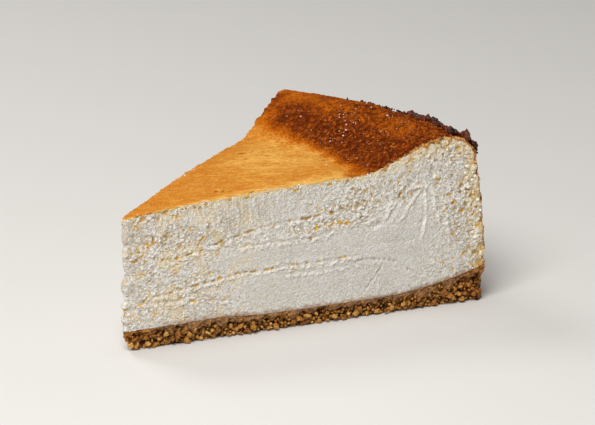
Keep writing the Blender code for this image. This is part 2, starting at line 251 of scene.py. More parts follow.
class CakeShape:
    """The profile of the whole cake, and the slice that is cut from it."""

    def __init__(self, sizes):
        self.radius = sizes.cake_radius / MM
        self.half = sizes.slice_angle / 2
        self.centre = sizes.centre_height / MM
        self.dish = sizes.dish_height / MM
        self.crest = sizes.crest_height / MM
        self.base = sizes.base_thickness / MM
        self.curb = sizes.curb_height / MM
        self.skin = sizes.skin_thickness / MM
        self.tip = sizes.tip_bluntness / MM
        self.nose = self.tip / math.sin(self.half)
        self.shoulder_start = self.radius - SHOULDER_INSET - SHOULDER_WIDTH
        self.shoulder_end = self.radius - SHOULDER_INSET
        self.shoulder_height = self.crest - SHOULDER_DROP
        self.axis_x = -(self.radius + self.nose - self.tip) / 2

    def top_height(self, radius):
        """Height of the baked top: a dish that sinks to the middle, a risen rim and a rounded shoulder."""
        inward = np.maximum(1 - radius / DISH_RADIUS, 0)
        dish = self.dish - (self.dish - self.centre) * inward * inward
        risen = dish + (self.crest - dish) * smooth_step(DISH_RADIUS, CREST_RADIUS, radius)
        share = np.clip((radius - self.shoulder_start) / SHOULDER_WIDTH, 0, 1)
        return np.where(share > 0, self.crest - SHOULDER_DROP * (1 - np.sqrt(1 - share * share)), risen)

    def skin_depth(self, radius):
        """Thickness of the browned skin, thinner over the dish than on the rim."""
        return self.skin * (0.45 + 0.75 * smooth_step(66, 96, radius))

    def base_height(self, radius):
        """Height of the crumb base's upper side, which sags under the dish and curls up at the rim."""
        curl = np.maximum((radius - CURB_START) / (self.radius - CURB_START), 0)
        sag = BASE_SAG * smooth_step(32, 48, radius) * smooth_step(97, 86, radius)
        return self.base + (self.curb - self.base) * curl**1.5 - sag

    def side_radius(self, height):
        """Radius of the outer side, which shrank a little from the tin towards the top."""
        share = np.maximum((height - SIDE_FOOT) / (self.shoulder_height - SIDE_FOOT), 0)
        return self.radius - SHOULDER_INSET * share**1.5

    def half_angle(self, radius):
        """Half the slice's angle at a radius: constant, but closing to nothing round the blunt tip."""
        tangent = self.tip / math.tan(self.half)
        near = np.clip(radius, self.nose - self.tip, tangent)
        cosine = (near**2 + self.nose**2 - self.tip**2) / (2 * near * self.nose)
        return np.where(radius >= tangent, self.half, np.arccos(np.clip(cosine, -1, 1)))

    def spread(self, count, last):
        """Radii from the tip out to the last one: close together round the blunt tip, then evenly spaced."""
        tangent = self.tip / math.tan(self.half)
        nose = [self.nose - self.tip * math.cos(turn) for turn in np.linspace(0, 1.15, 5)[:-1]]
        return np.array([*nose, *np.linspace(tangent, last, count - 4)])

    def top_profile(self, share):
        """(radius, height) points at shares of the way along the top and down the shoulder."""
        shoulder = self.shoulder_start + SHOULDER_WIDTH * np.sin(np.linspace(0, math.pi / 2, 200))
        radius = np.concatenate((np.linspace(0, self.shoulder_start, 1200)[:-1], shoulder))
        height = self.top_height(radius)
        length = np.concatenate(([0], np.cumsum(np.hypot(np.diff(radius), np.diff(height)))))
        start = np.interp(self.nose - self.tip, radius, length)
        wanted = start + share * (length[-1] - start)
        return np.interp(wanted, length, radius), np.interp(wanted, length, height)

    def cut_grid(self):
        """Radius and height over a cut of the filling: its four edges, blended evenly across it."""
        low_r = self.spread(CUT_COLUMNS, self.radius)
        low_z = self.base_height(low_r) + LAYER_GAP
        share = (low_r - low_r[0]) / (low_r[-1] - low_r[0])
        top_r, top_z = self.top_profile(share)
        top_z = top_z - self.skin_depth(top_r)
        u = share[:, None]
        v = np.linspace(0, 1, CUT_ROWS)[None, :]
        side_z = low_z[-1] + (top_z[-1] - low_z[-1]) * v[0]
        side_r = self.side_radius(side_z)
        tip_z = low_z[0] + (top_z[0] - low_z[0]) * v[0]
        tip_r = np.full(CUT_ROWS, low_r[0])
        blended = []
        for low, top, tip, side in ((low_r, top_r, tip_r, side_r), (low_z, top_z, tip_z, side_z)):
            edges = (1 - v) * low[:, None] + v * top[:, None] + (1 - u) * tip[None, :] + u * side[None, :]
            corners = (1 - u) * ((1 - v) * low[0] + v * top[0]) + u * ((1 - v) * low[-1] + v * top[-1])
            blended.append(edges - corners)
        return blended

    def place(self, radius, angle, height):
        """Points from polar coordinates about the cake's axis."""
        return np.stack((self.axis_x + radius * np.cos(angle), radius * np.sin(angle), height), axis=-1)

    def cut_normal(self, radius, side):
        """The level direction out of a cut, which turns towards the tip round its blunt end."""
        angle = self.half_angle(radius)
        round_nose = (radius * np.cos(angle) - self.nose, side * radius * np.sin(angle))
        flat = np.array((-math.sin(self.half), side * math.cos(self.half)))
        on_nose = (radius < self.tip / math.tan(self.half))[:, None]
        level = np.where(on_nose, np.stack(round_nose, axis=-1) / self.tip, flat)
        return np.column_stack((level, np.zeros(len(radius))))

    def radial(self, angle):
        """The level direction away from the cake's axis."""
        return np.stack((np.cos(angle), np.sin(angle), np.zeros(len(angle))), axis=-1)

    def ring(self, radius, height, arc):
        """One level outline of the slice: out along the near cut, round the side, and back along the far cut.

        It gives each point's radius, angle and height, and which of the three it lies on."""
        angle = self.half_angle(radius)
        swing = np.linspace(-1, 1, arc + 1)[1:-1] * angle[-1]
        all_r = np.concatenate((radius, np.full(arc - 1, radius[-1]), radius[:0:-1]))
        all_a = np.concatenate((-angle, swing, angle[:0:-1]))
        all_z = np.concatenate((height, np.full(arc - 1, height[-1]), height[:0:-1]))
        where = np.concatenate((np.full(len(radius), NEAR), np.zeros(arc - 1), np.full(len(radius) - 1, FAR)))
        return all_r, all_a, all_z, where


def piece_from(name, points, faces, masks):
    """A smooth mesh object from points in millimetres, with one named number at each point for each mask."""
    mesh = bpy.data.meshes.new(name)
    mesh.from_pydata((points * MM).tolist(), [], faces)
    for mask, values in masks.items():
        layer = mesh.attributes.new(mask, "FLOAT", "POINT")
        layer.data.foreach_set("value", np.clip(values, 0, 1).astype(np.float32))
    mesh.shade_smooth()
    piece = bpy.data.objects.new(name, mesh)
    bpy.context.scene.collection.objects.link(piece)
    return piece


def face_outwards(piece):
    """Turns the faces of a closed shell so that they point out."""
    edit = bmesh.new()
    edit.from_mesh(piece.data)
    bmesh.ops.recalc_face_normals(edit, faces=edit.faces)
    edit.to_mesh(piece.data)
    edit.free()


def closed_panel(name, front, back_low, back_high, masks):
    """A closed panel: a fine front of (columns, rows) points, and a plain back tucked inside the slice."""
    columns, rows = front.shape[:2]
    count = columns * rows
    points = np.concatenate((front.reshape(-1, 3), back_low, back_high))
    low = np.arange(columns) + count
    high = low + columns
    grid = np.arange(count).reshape(columns, rows)
    faces = []
    for i in range(columns - 1):
        one, two = grid[i].tolist(), grid[i + 1].tolist()
        faces += [(one[j], two[j], two[j + 1], one[j + 1]) for j in range(rows - 1)]
        under = (int(low[i]), int(low[i + 1]), two[0], one[0])
        over = (one[-1], two[-1], int(high[i + 1]), int(high[i]))
        behind = (int(low[i + 1]), int(low[i]), int(high[i]), int(high[i + 1]))
        faces += [under, over, behind]
    faces.append((*reversed(grid[0].tolist()), int(low[0]), int(high[0])))
    faces.append((*grid[-1].tolist(), int(high[-1]), int(low[-1])))
    hidden = np.zeros(2 * columns)
    masks = {mask: np.concatenate((values, hidden)) for mask, values in masks.items()}
    piece = piece_from(name, points, faces, masks)
    face_outwards(piece)
    return piece


class Shell:
    """A closed slice-shaped surface made of stacked outlines, with its caps."""

    def __init__(self, shape, radius, height, arc):
        """radius and height have one row for each column of a cut, with one value for each level."""
        self.shape = shape
        self.columns, self.levels = radius.shape
        self.arc = arc
        rings = [shape.ring(radius[:, level], height[:, level], arc) for level in range(self.levels)]
        self.radius, self.angle, self.height, self.where = (np.concatenate(part) for part in zip(*rings))
        self.around = len(rings[0][0])
        self.points = shape.place(self.radius, self.angle, self.height)
        self.faces = self.wall_faces() + self.strip_cap(0)

    def wall_faces(self):
        faces = []
        for level in range(self.levels - 1):
            low = level * self.around
            high = low + self.around
            for i in range(self.around):
                j = (i + 1) % self.around
                faces.append((low + i, low + j, high + j, high + i))
        return faces

    def strip_cap(self, level):
        """Closes a level with strips that run across the slice, and one face along the side."""
        low = level * self.around
        near = [low + i for i in range(self.columns)]
        far = [low] + [low + self.around - i for i in range(1, self.columns)]
        faces = [(near[0], far[1], near[1])]
        faces += [(near[i], far[i], far[i + 1], near[i + 1]) for i in range(1, self.columns - 1)]
        faces.append(tuple(low + i for i in range(self.columns - 1, self.columns + self.arc)))
        return faces

    def close_flat(self):
        self.faces += self.strip_cap(self.levels - 1)

    def close_with_grid(self, radius, height):
        """Closes the top with a fine grid whose rows are arcs about the cake's axis."""
        low = (self.levels - 1) * self.around
        angle = self.shape.half_angle(radius)
        swing = np.linspace(-1, 1, self.arc + 1)[1:-1]
        inner_r = np.repeat(radius[1:-1], self.arc - 1)
        inner_a = (angle[1:-1, None] * swing[None, :]).ravel()
        inner_z = np.repeat(height[1:-1], self.arc - 1)
        first = len(self.points)
        self.points = np.concatenate((self.points, self.shape.place(inner_r, inner_a, inner_z)))
        self.radius = np.concatenate((self.radius, inner_r))
        self.angle = np.concatenate((self.angle, inner_a))
        self.height = np.concatenate((self.height, inner_z))

        def corner(i, j):
            if i == 0:
                return low
            if j == 0:
                return low + i
            if j == self.arc:
                return low + self.around - i
            if i == self.columns - 1:
                return low + self.columns - 1 + j
            return first + (i - 1) * (self.arc - 1) + j - 1

        for i in range(self.columns - 1):
            for j in range(self.arc):
                face = [corner(i, j), corner(i + 1, j), corner(i + 1, j + 1), corner(i, j + 1)]
                self.faces.append(tuple(dict.fromkeys(face)))


def hand_over(piece, node, slot_name, *materials):
    """Gives a finished piece its material, hangs it under the root and hides the solid that it stands for."""
    for material in materials:
        piece.data.materials.append(material)
    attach(piece, "root")
    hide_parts(node)


# The relief of the filling

def torn_map(shape, radius, height, plan):
    """How torn the cut is, from 0 where the knife smeared it to 1 where the curd broke open."""
    torn = np.full(len(radius), 0.27)
    torn += 0.3 * smooth_step(3.0, 0.5, shape.top_height(radius) - height)
    torn += 0.3 * smooth_step(12, 3, shape.side_radius(height) - radius) + 0.22 * smooth_step(48, 30, radius)
    seed = plan.seed
    torn += 0.3 * wave(radius, height, 9, 6, seed + 4) + 0.2 * wave(radius, height, 3.5, 3, seed + 5)
    for patch in plan.patches:
        reach = ((radius - patch.radius) / patch.wide) ** 2 + ((height - patch.height) / patch.high) ** 2
        torn += patch.torn * np.exp(-reach)
    return np.clip(torn, 0, 1)


def curd_relief(radius, height, torn, seed):
    """The curd itself: fine grain, soft lumps and small broken pores, all stronger where it is torn."""
    lumps = wave(radius, height, 2.3, 1.9, seed)
    grainy = wave(radius, height, 0.85, 0.75, seed + 1)
    fine = wave(radius, height, 0.5, 0.45, seed + 7)
    curds = 0.48 - cells(radius + 0.8 * lumps, height + 0.5 * grainy, 1.5, seed + 2)
    rise = (0.03 + 0.13 * torn) * grainy + (0.09 + 0.18 * torn) * fine + (0.03 + 0.06 * torn) * lumps
    rise += 0.22 * torn * torn * curds
    rise += 0.10 * (1 - torn) * wave(radius, height, 26, 1.3, seed + 3)
    broken = 0.8 * wave(radius, height, 1.2, 1.0, seed + 4) + 0.6 * wave(radius, height, 0.55, 0.5, seed + 5)
    edge = 0.58 - 0.44 * torn
    rise -= (0.06 + 0.14 * torn) * smooth_step(edge, edge + 0.25, broken)
    tint = smooth_step(-0.2, 0.3, wave(radius, height, 5, 4, seed + 6))
    # The ochre of the broken pores is partly the curd's slight ochre tint, and partly painted shade and
    # painted glow of light soaking into them.
    ochre = (0.35 + 0.6 * tint) * smooth_step(edge, edge + 0.25, broken)
    # The chip mask is partly the whiter broken curd and partly a painted highlight on the raised grain.
    chip = (0.25 + 0.75 * torn) * smooth_step(0.0, 0.35, 0.6 * grainy + fine)
    # Painted shade: the low grain of the curd is laid darker and warmer, more so where it is torn.
    hollow = (0.28 + 0.8 * torn) * smooth_step(0.12, -0.2, 0.6 * grainy + fine + 0.2 * lumps)
    return rise, ochre, chip, hollow


def mark_relief(radius, height, marks, seed):
    """Grooves of the knife: ochre dashes along each one, and white curds heaped up on both sides of it."""
    rise = np.zeros(len(radius))
    ochre = np.zeros(len(radius))
    chip = np.zeros(len(radius))
    shift = 0.35 * wave(radius, height, 3.2, 3.2, seed) + 0.35 * wave(radius, height, 1.0, 1.0, seed + 1)
    for number, mark in enumerate(marks):
        above, past, along = along_path(radius, height + shift, mark.path)
        fade = smooth_step(3, 0, past)
        dashes = smooth_step(0.02, 0.3, wave(along, above * 0.3, 1.25, 1.0, seed + 40 + number))
        heaps = smooth_step(-0.2, 0.3, wave(along, above, 1.0, 0.8, seed + 80 + number))
        groove = fade * hump(above, mark.width * 1.3)
        under = hump(above + mark.width * 2.0, mark.width * 1.8)
        over = 0.6 * hump(above - mark.width * 2.0, mark.width * 1.4)
        lip = fade * (under + over) * heaps
        rise += 0.75 * mark.lip * lip - mark.depth * groove * (0.2 + 0.45 * dashes)
        ochre = np.maximum(ochre, mark.ochre * groove * dashes)
        # The heaped lips get the chip mask: whiter heaped curd, with a painted highlight on the raised lips.
        chip = np.maximum(chip, lip * min(mark.lip * 2.5, 1))
    return rise, ochre, chip


def pit_relief(radius, height, pits, seed):
    """Single pits, each an uneven hollow with a raised lip and an ochre floor."""
    rise = np.zeros(len(radius))
    ochre = np.zeros(len(radius))
    soft = [0.5 * wave(radius, height, 1.1, 1.1, seed + i) for i in (0, 1)]
    fine = [0.3 * wave(radius, height, 0.5, 0.5, seed + i) for i in (2, 3)]
    across, up = radius + soft[0] + fine[0], height + soft[1] + fine[1]
    for pit in pits:
        turn = math.radians(pit.tilt)
        dx, dy = across - pit.radius, up - pit.height
        along = (dx * math.cos(turn) + dy * math.sin(turn)) / pit.long
        over = (dy * math.cos(turn) - dx * math.sin(turn)) / pit.high
        distance = np.hypot(along, over)
        depth = 0.14 + 0.28 * min(pit.long, pit.high)
        rise += 0.14 * hump(distance - 1.35, 0.5) - depth * smooth_step(1.3, 0.5, distance)
        ochre = np.maximum(ochre, pit.ochre * smooth_step(1.15, 0.6, distance))
    return rise, ochre


def ridge_relief(radius, height, ridges, seed):
    """Thin upright folds that fan out where the knife left the filling near the rim."""
    crests = np.zeros(len(radius))
    shift = 0.6 * wave(radius, height, 4, 4, seed) + 0.25 * wave(radius, height, 1.2, 1.2, seed + 1)
    for number, path in enumerate(ridges):
        above, past, along = along_path(radius + shift, height, path)
        broken = smooth_step(-0.4, 0.1, wave(along, above, 2.2, 1.0, seed + 2 + number))
        crests = np.maximum(crests, hump(above, 0.75) * smooth_step(3, 0, past) * (0.35 + 0.65 * broken))
    return crests


def tip_relief(height):
    """The scalloped, crumbling edge of the tip."""
    level = np.zeros(len(height))
    scallops = 0.55 - 3.4 * np.abs(wave(level, height, 1, 6.8, 131))
    return scallops + 0.6 * wave(level, height, 1, 1.8, 132)


def cut_relief(shape, radius, height, plan):
    """How far a cut stands out at each point, with its masks: ochre with painted shade and glow, chips with
    painted highlights, painted shade in the hollows, and how torn it is.
    """
    seed = plan.seed
    torn = torn_map(shape, radius, height, plan)
    rise, ochre, chip, hollow = curd_relief(radius, height, torn, seed + 10)
    groove, groove_ochre, groove_chip_and_highlight = mark_relief(radius, height, plan.marks, seed + 70)
    pitted, pit_ochre = pit_relief(radius, height, plan.pits, seed + 20)
    ridges = ridge_relief(radius, height, plan.ridges, seed + 25)
    rise += groove + pitted + 0.45 * ridges
    streaks = smooth_step(58, 36, radius) * smooth_step(29, 33, height)
    upright = wave(radius + 0.1 * height, height, 0.8, 4.5, seed + 23)
    rise += 0.2 * streaks * upright
    # More painted shade in the hollows near the tip and in the grooves of the upright streaks.
    hollow *= 1 + 0.3 * smooth_step(50, 25, radius)
    hollow = np.maximum(hollow, streaks * smooth_step(0.0, -0.3, upright))
    rise += 0.35 * wave(radius, height, 15, 9, seed + 29)
    knobs = smooth_step(5.0, 1.5, shape.side_radius(height) - radius)
    crease = cells(radius, height, 2.8, seed + 37)
    rise += 0.8 * knobs * (0.45 - crease)
    ochre = np.maximum(ochre, 0.6 * knobs * smooth_step(0.4, 0.6, crease))
    near_tip = smooth_step(6.0, 0.8, radius)
    rise = rise * smooth_step(0.4, 2.5, radius) + tip_relief(height) * near_tip
    # Every ochre mark, in pits, grooves and the creases between knobs, is partly the curd's ochre tint and
    # partly painted shade and painted glow in these hollows.
    ochre = np.maximum.reduce((ochre, pit_ochre, groove_ochre))
    # The thin folds are laid whiter too: a painted highlight along their crests.
    chip = np.maximum.reduce((chip, groove_chip_and_highlight, 0.9 * ridges))
    return rise, {"ochre": ochre, "chip": chip, "hollow": hollow, "torn": torn}


def side_relief(shape, angle, height):
    """The outer side, set against the tin: cobbled curd with creases between the knobs."""
    around = angle * shape.radius
    shift = wave(around, height, 2, 2, 5)
    sway = wave(around, height, 5, 5, 6)
    knobs = cells(around + 1.2 * shift + 2.5 * sway, height - 1.5 * sway, 2.9, 7)
    fine = cells(around, height + 0.4 * shift, 1.3, 9)
    rise = 1.1 * (0.42 - knobs) + 0.5 * (0.4 - fine) + 0.5 * wave(around, height, 14, 9, 13)
    rise += 0.12 * wave(around, height, 0.8, 0.8, 14)
    return rise, smooth_step(0.3, 0.8, knobs + 0.25 * (fine - 0.4))


def cut_offset(shape, radius, height, plan):
    """Where a cut's relief moves its points. Close to the outer side the side's relief joins in."""
    rise, masks = cut_relief(shape, radius, height, plan)
    inside = shape.side_radius(height) - radius
    corner = smooth_step(CORNER_REACH, 0, inside)
    angle = np.full(len(radius), plan.side * shape.half)
    side_rise, _ = side_relief(shape, angle, height)
    moved = shape.cut_normal(radius, plan.side) * rise[:, None]
    moved += shape.radial(angle) * (side_rise * corner)[:, None]
    return moved, masks


def side_offset(shape, angle, height):
    """Where the outer side's relief moves its points. Close to a cut the cut's relief joins in."""
    rise, crease = side_relief(shape, angle, height)
    moved = shape.radial(angle) * rise[:, None]
    for plan in (NEAR_CUT, FAR_CUT):
        corner = smooth_step(CORNER_REACH, 0, (shape.half - plan.side * angle) * shape.radius)
        close = corner > 0
        radius = shape.side_radius(height[close])
        cut_rise = cut_relief(shape, radius, height[close], plan)[0]
        moved[close] += shape.cut_normal(radius, plan.side) * (cut_rise * corner[close])[:, None]
    return moved, crease


def edge_masks(shape, radius, height, seed):
    """The toasted line under the skin and at the outer side, the creamy zone inside it, and the soaked foot.

    Warm stains lie between the pores near the tip."""
    ragged = wave(radius, height, 1.3, 1.1, seed)
    under_skin = shape.top_height(radius) - shape.skin_depth(radius) - height
    inside = shape.side_radius(height) - radius
    rim = smooth_step(76, 96, radius)
    crust = np.minimum(under_skin + 0.6 * (1 - rim), inside * 1.1)
    toast = smooth_step(0.35 + 0.35 * rim, 0.0, crust + 0.6 * ragged)
    cream = smooth_step(1.5 + 5.0 * rim, 0.2, np.minimum(under_skin, inside) + 1.6 * ragged)
    stain = smooth_step(0.0, 0.4, wave(radius, height, 4, 2.5, seed + 1)) * smooth_step(55, 28, radius)
    cream = np.maximum(cream, 0.55 * stain)
    soak = smooth_step(2.0, 0.0, height - shape.base_height(radius) + 0.8 * ragged)
    soak = soak * smooth_step(9, 15, radius)
    return {"toast": toast, "cream": cream, "soak": soak}


def build_cut(shape, plan, name):
    """One cut of the filling, from the blunt tip to the outer side."""
    grid_r, grid_z = shape.cut_grid()
    radius, height = grid_r.ravel(), grid_z.ravel()
    angle = plan.side * shape.half_angle(radius)
    moved, masks = cut_offset(shape, radius, height, plan)
    masks.update(edge_masks(shape, radius, height, plan.seed + 77))
    front = (shape.place(radius, angle, height) + moved).reshape(*grid_r.shape, 3)
    backs = []
    for row in (0, -1):
        edge_r, edge_z = grid_r[:, row], grid_z[:, row]
        edge = shape.place(edge_r, plan.side * shape.half_angle(edge_r), edge_z)
        inward = np.minimum(PANEL_DEPTH, 0.3 * edge_r)[:, None]
        shy = PANEL_SHY * smooth_step(shape.radius - 14, shape.radius, edge_r)[:, None]
        out = shape.radial(np.full(len(edge_r), plan.side * shape.half))
        backs.append(edge - shape.cut_normal(edge_r, plan.side) * inward - out * shy)
    return closed_panel(name, front, *backs, masks)


def build_side(shape):
    """The outer side of the filling, between the two cuts."""
    angle_row = np.linspace(-1, 1, SIDE_COLUMNS) * shape.half
    foot = float(shape.base_height(np.array(shape.radius))) + LAYER_GAP
    head = shape.shoulder_height - float(shape.skin_depth(np.array(shape.shoulder_end)))
    angle = np.repeat(angle_row, SIDE_ROWS)
    height = np.tile(np.linspace(foot, head, SIDE_ROWS), SIDE_COLUMNS)
    radius = shape.side_radius(height)
    moved, crease = side_offset(shape, angle, height)
    front = (shape.place(radius, angle, height) + moved).reshape(SIDE_COLUMNS, SIDE_ROWS, 3)
    shy = angle_row * (1 - PANEL_SHY / (shape.radius * shape.half))
    backs = []
    for level in (foot, head):
        back = float(shape.side_radius(np.array(level))) - PANEL_DEPTH
        backs.append(shape.place(np.full(SIDE_COLUMNS, back), shy, np.full(SIDE_COLUMNS, level)))
    around = angle * shape.radius
    mottled = wave(around, height, 6, 5, 15)
    high = smooth_step(20, 46, height)
    browned = 0.8 * smooth_step(head - 2.8, head - 0.2, height + 2.5 * wave(around, height, 4, 3, 18))
    near_cuts = smooth_step(4, 0, (shape.half - np.abs(angle)) * shape.radius)
    toast = 0.46 + 0.15 * high + 0.18 * mottled + 0.12 * wave(around, height, 1.6, 1.4, 16)
    toast *= 1 - 0.5 * near_cuts
    toast += 0.35 * crease + 0.5 * browned
    soak = smooth_step(1.6, 0.0, height - foot)
    plain = np.zeros(len(around))
    # The side gets a little painted shade in its low grain.
    masks = {"ochre": 0.35 * crease, "chip": plain, "hollow": plain + 0.1, "torn": plain, "toast": toast,
             "cream": plain + 1, "soak": soak, "browned": browned}
    return closed_panel("side_crust", front, *backs, masks)


# The browned skin

def smear_axes(x, y):
    """Coordinates along and across the direction in which the top was smoothed before baking."""
    return (
        x * math.cos(SMEAR_TURN) + y * math.sin(SMEAR_TURN),
        y * math.cos(SMEAR_TURN) - x * math.sin(SMEAR_TURN),
    )


def browning(shape, radius, angle, x, y):
    """How brown the top is, from 0 in the dish to 1 on the rim's slope, with its orange and pale parts."""
    turn = angle / shape.half
    lean = radius - 4.8 * turn + 3 * wave(x, y, 14, 14, 21) + 2 * wave(x, y, 5, 5, 22) + wave(x, y, 2, 2, 23)
    brown = smooth_step(73.5, 91, lean)
    crest = 0.42 - 0.22 * smooth_step(-0.55, -0.95, turn)
    crest = crest + 0.16 * wave(x, y, 9, 9, 24) + 0.2 * wave(x, y, 4, 4, 26)
    brown -= crest * smooth_step(87, 98, radius) - 0.35 * smooth_step(105, 112, radius)
    brown -= 0.15 * smooth_step(0.65, 0.97, turn)
    along, across = smear_axes(x, y)
    middle = smooth_step(1.0, 0.6, np.abs(turn))
    patch = 0.45 * middle * smooth_step(52, 36, radius + 10 * wave(along, across, 14, 6, 25))
    patch += 0.35 * hump(turn + 0.5, 0.4) * smooth_step(45, 55, radius) + 0.4 * smooth_step(0.5, 0.9, turn)
    streak = 0.55 * smooth_step(0.05, 0.45, wave(along, across, 12, 2.0, 27)) * smooth_step(78, 20, radius)
    spot = 0.75 * smooth_step(0.28, 0.5, wave(along, across, 4.5, 1.6, 29)) * smooth_step(80, 40, radius)
    pale = smooth_step(44, 60, radius) * smooth_step(-0.6, -0.1, turn)
    pale = pale * (0.55 + 0.8 * wave(along, across, 12, 5, 28))
    pale = np.maximum(pale, smooth_step(0.7, 0.97, -turn)) * smooth_step(0.9, 0.5, turn)
    return brown, np.maximum.reduce((patch, streak, spot)), pale


def scar_mask(x, y):
    """The small scars where the skin blistered and broke."""
    along, across = smear_axes(x, y)
    scars = np.zeros(len(x))
    for scar in SCARS:
        at_along, at_across = smear_axes(scar.x, scar.y)
        reach = ((along - at_along) / scar.long) ** 2 + ((across - at_across) / scar.wide) ** 2
        scars = np.maximum(scars, np.exp(-reach * 2))
    return np.clip(scars * (0.5 + 2.0 * wave(along, y, 2.2, 1.1, 33)), 0, 1)


def skin_relief(x, y, pebbly, scars):
    """The skin's own relief: streaks in the dish, blisters where it is pebbly and pits at the scars."""
    along, across = smear_axes(x, y)
    shift = wave(x, y, 1.6, 1.6, 40)
    blister = cells(x + 0.7 * shift, y, 1.35, 41)
    small = cells(x, y + 0.4 * shift, 0.8, 43)
    rise = 0.25 * wave(x, y, 13, 11, 45)
    rise += (1 - pebbly) * (0.13 * wave(along, across, 8, 1.3, 47) + 0.09 * wave(x, y, 1.1, 1.1, 49))
    rise += pebbly * (0.7 * (0.45 - blister) + 0.45 * (0.45 - small) + 0.6 * wave(x, y, 3.0, 3.0, 51))
    # The second value marks the creases between the blisters, where the skin's colour gets painted shade.
    return rise - 0.3 * scars, smooth_step(0.25, 0.6, blister)


def inset_root(shape, shell, points):
    """Draws the skin's lowest outline, which nobody sees, well inside the slice."""
    root = slice(0, shell.around)
    radius, angle, where = shell.radius[root], shell.angle[root], shell.where[root]
    for side in (NEAR, FAR):
        cut = where == side
        inward = np.minimum(SKIN_INSET, 0.3 * radius[cut])[:, None]
        points[root][cut] -= shape.cut_normal(radius[cut], side) * inward
    points[root] -= shape.radial(angle) * (SKIN_INSET * smooth_step(95, 113, radius))[:, None]
    points[root, 0] += SKIN_INSET * smooth_step(9, 2, radius)


def build_skin(shape):
    """The baked skin over the dish, the rim and the shoulder, as a thin closed layer."""
    dish = np.linspace(0.0, 0.58, SKIN_DISH_COLUMNS)
    rim = np.linspace(0.58, 1.0, SKIN_RIM_COLUMNS + 1)[1:]
    top_r, top_z = shape.top_profile(np.concatenate((dish, rim)))
    thick = shape.skin_depth(top_r) + SKIN_TUCK
    root = 1.2 + (SKIN_ROOT - 1.2) * smooth_step(8, 40, top_r)
    levels = [top_z - root, *(top_z - share * thick for share in np.linspace(1, 0, SKIN_EDGE_ROWS))]
    height = np.stack(levels, axis=1)
    radius = np.repeat(top_r[:, None], len(levels), axis=1)
    shell = Shell(shape, radius, height, SKIN_ARC)
    edge_count = len(shell.points)
    rim_ring = edge_count - shell.around
    shell.close_with_grid(top_r, top_z)
    x = shell.points[:, 0] - shape.axis_x
    y = shell.points[:, 1]
    brown, patch, pale = browning(shape, shell.radius, shell.angle, x, y)
    scars = scar_mask(x, y)
    pebbly = smooth_step(70, 84, shell.radius) * (1 - 0.65 * smooth_step(0.1, 0.6, shell.angle / shape.half))
    rise, crease = skin_relief(x, y, pebbly, scars)
    slope = np.clip(np.gradient(top_z, top_r), -6, 6)
    lean = np.interp(shell.radius, top_r, slope)
    steep = np.hypot(1, lean)
    on_top = np.arange(len(x)) >= rim_ring
    points = shell.points + shape.radial(shell.angle) * (-lean / steep * rise * on_top)[:, None]
    points[:, 2] += rise / steep * on_top
    visible = slice(shell.around, edge_count)
    r, where = shell.radius[visible], shell.where[visible]
    z = shape.top_height(r) - shape.skin_depth(r)
    edge = points[visible]
    for plan in (NEAR_CUT, FAR_CUT):
        cut = where == plan.side
        level, seed = z[cut] * 0, plan.seed
        ragged = 0.7 * wave(r[cut], level, 1.1, 1, seed + 81) + wave(r[cut], level, 2.6, 1, seed + 82)
        ragged *= (0.35 + 0.65 * smooth_step(70, 92, r[cut])) * smooth_step(1, 6, r[cut])
        edge[cut] += cut_offset(shape, r[cut], z[cut], plan)[0]
        edge[cut] += shape.cut_normal(r[cut], plan.side) * ragged[:, None]
    side = where == 0
    edge[side] += side_offset(shape, shell.angle[visible][side], z[side])[0]
    ring = slice(0, shell.around)
    drop = (r[ring] + 300 * where[ring], z[ring] * 0)
    edge[ring, 2] += 0.9 * wave(*drop, 1.2, 1, 83) * (0.5 + smooth_step(70, 95, r[ring]))
    hem = (shell.angle[visible][ring] * shape.radius, z[ring] * 0)
    edge[ring, 2] -= (where[ring] == 0) * (0.7 + 1.6 * wave(*hem, 5, 1, 85) + wave(*hem, 1.6, 1, 86))
    inset_root(shape, shell, points)
    cut_edge = np.zeros(len(x))
    cut_edge[:rim_ring] = np.where(shell.where[:rim_ring] == 0, 0.15, 1)
    masks = {"brown": brown, "patch": patch, "pale": pale, "scar": scars, "edge": cut_edge,
             "crease": crease * on_top, "pebbly": pebbly}
    piece = piece_from("browned_skin", points, shell.faces, masks)
    face_outwards(piece)
    return piece


# Things that are scattered: curds, crags, beads and crumbs

# How lumps are scattered: spacing, smallest and largest radius, flatness, unevenness, ruggedness and seed
Strewing = namedtuple("Strewing", "spacing smallest largest flatness unevenness rugged seed")
STREWING_INPUTS = ("Spacing", "Density", "Smallest", "Largest", "Flatness", "Unevenness", "Ruggedness")
PACKING = 1.3

# The rows of the fringe under the skin: how far in and how far down each lies, and its bar against clumps
FRINGE_ROWS = ((0.9, -0.05, 0.3), (0.45, 0.05, 0.1), (0.0, 0.3, -0.2), (0.0, 0.7, -0.2), (0.0, 1.2, 0.1))
# The columns of the knobs at an outer corner: how far inside the side, how far round it, and their chance
KNOB_COLUMNS = (
    (4.5, 0, 0.15), (3.3, 0, 0.5), (2.2, 0, 0.8), (1.2, 0, 1), (0.5, 0.4, 1), (0.5, 1.4, 1), (0.5, 2.6, 0.8),
    (0.5, 3.8, 0.4),
)


def feed(tree, socket, value):
    """Links a socket to another one, or sets its value."""
    if isinstance(value, bpy.types.NodeSocket):
        tree.links.new(value, socket)
    else:
        socket.default_value = value


def made(tree, kind, feeds=None, result=0, **settings):
    """A new node with its settings, fed by sockets or plain values. It gives back one of its outputs."""
    node = tree.nodes.new(kind)
    for name, value in settings.items():
        setattr(node, name, value)
    for name, value in (feeds or {}).items():
        feed(tree, node.inputs[name], value)
    return node.outputs[result]


def vector_step(tree, operation, feeds):
    """One step of arithmetic on vectors."""
    return made(tree, "ShaderNodeVectorMath", feeds, operation=operation)


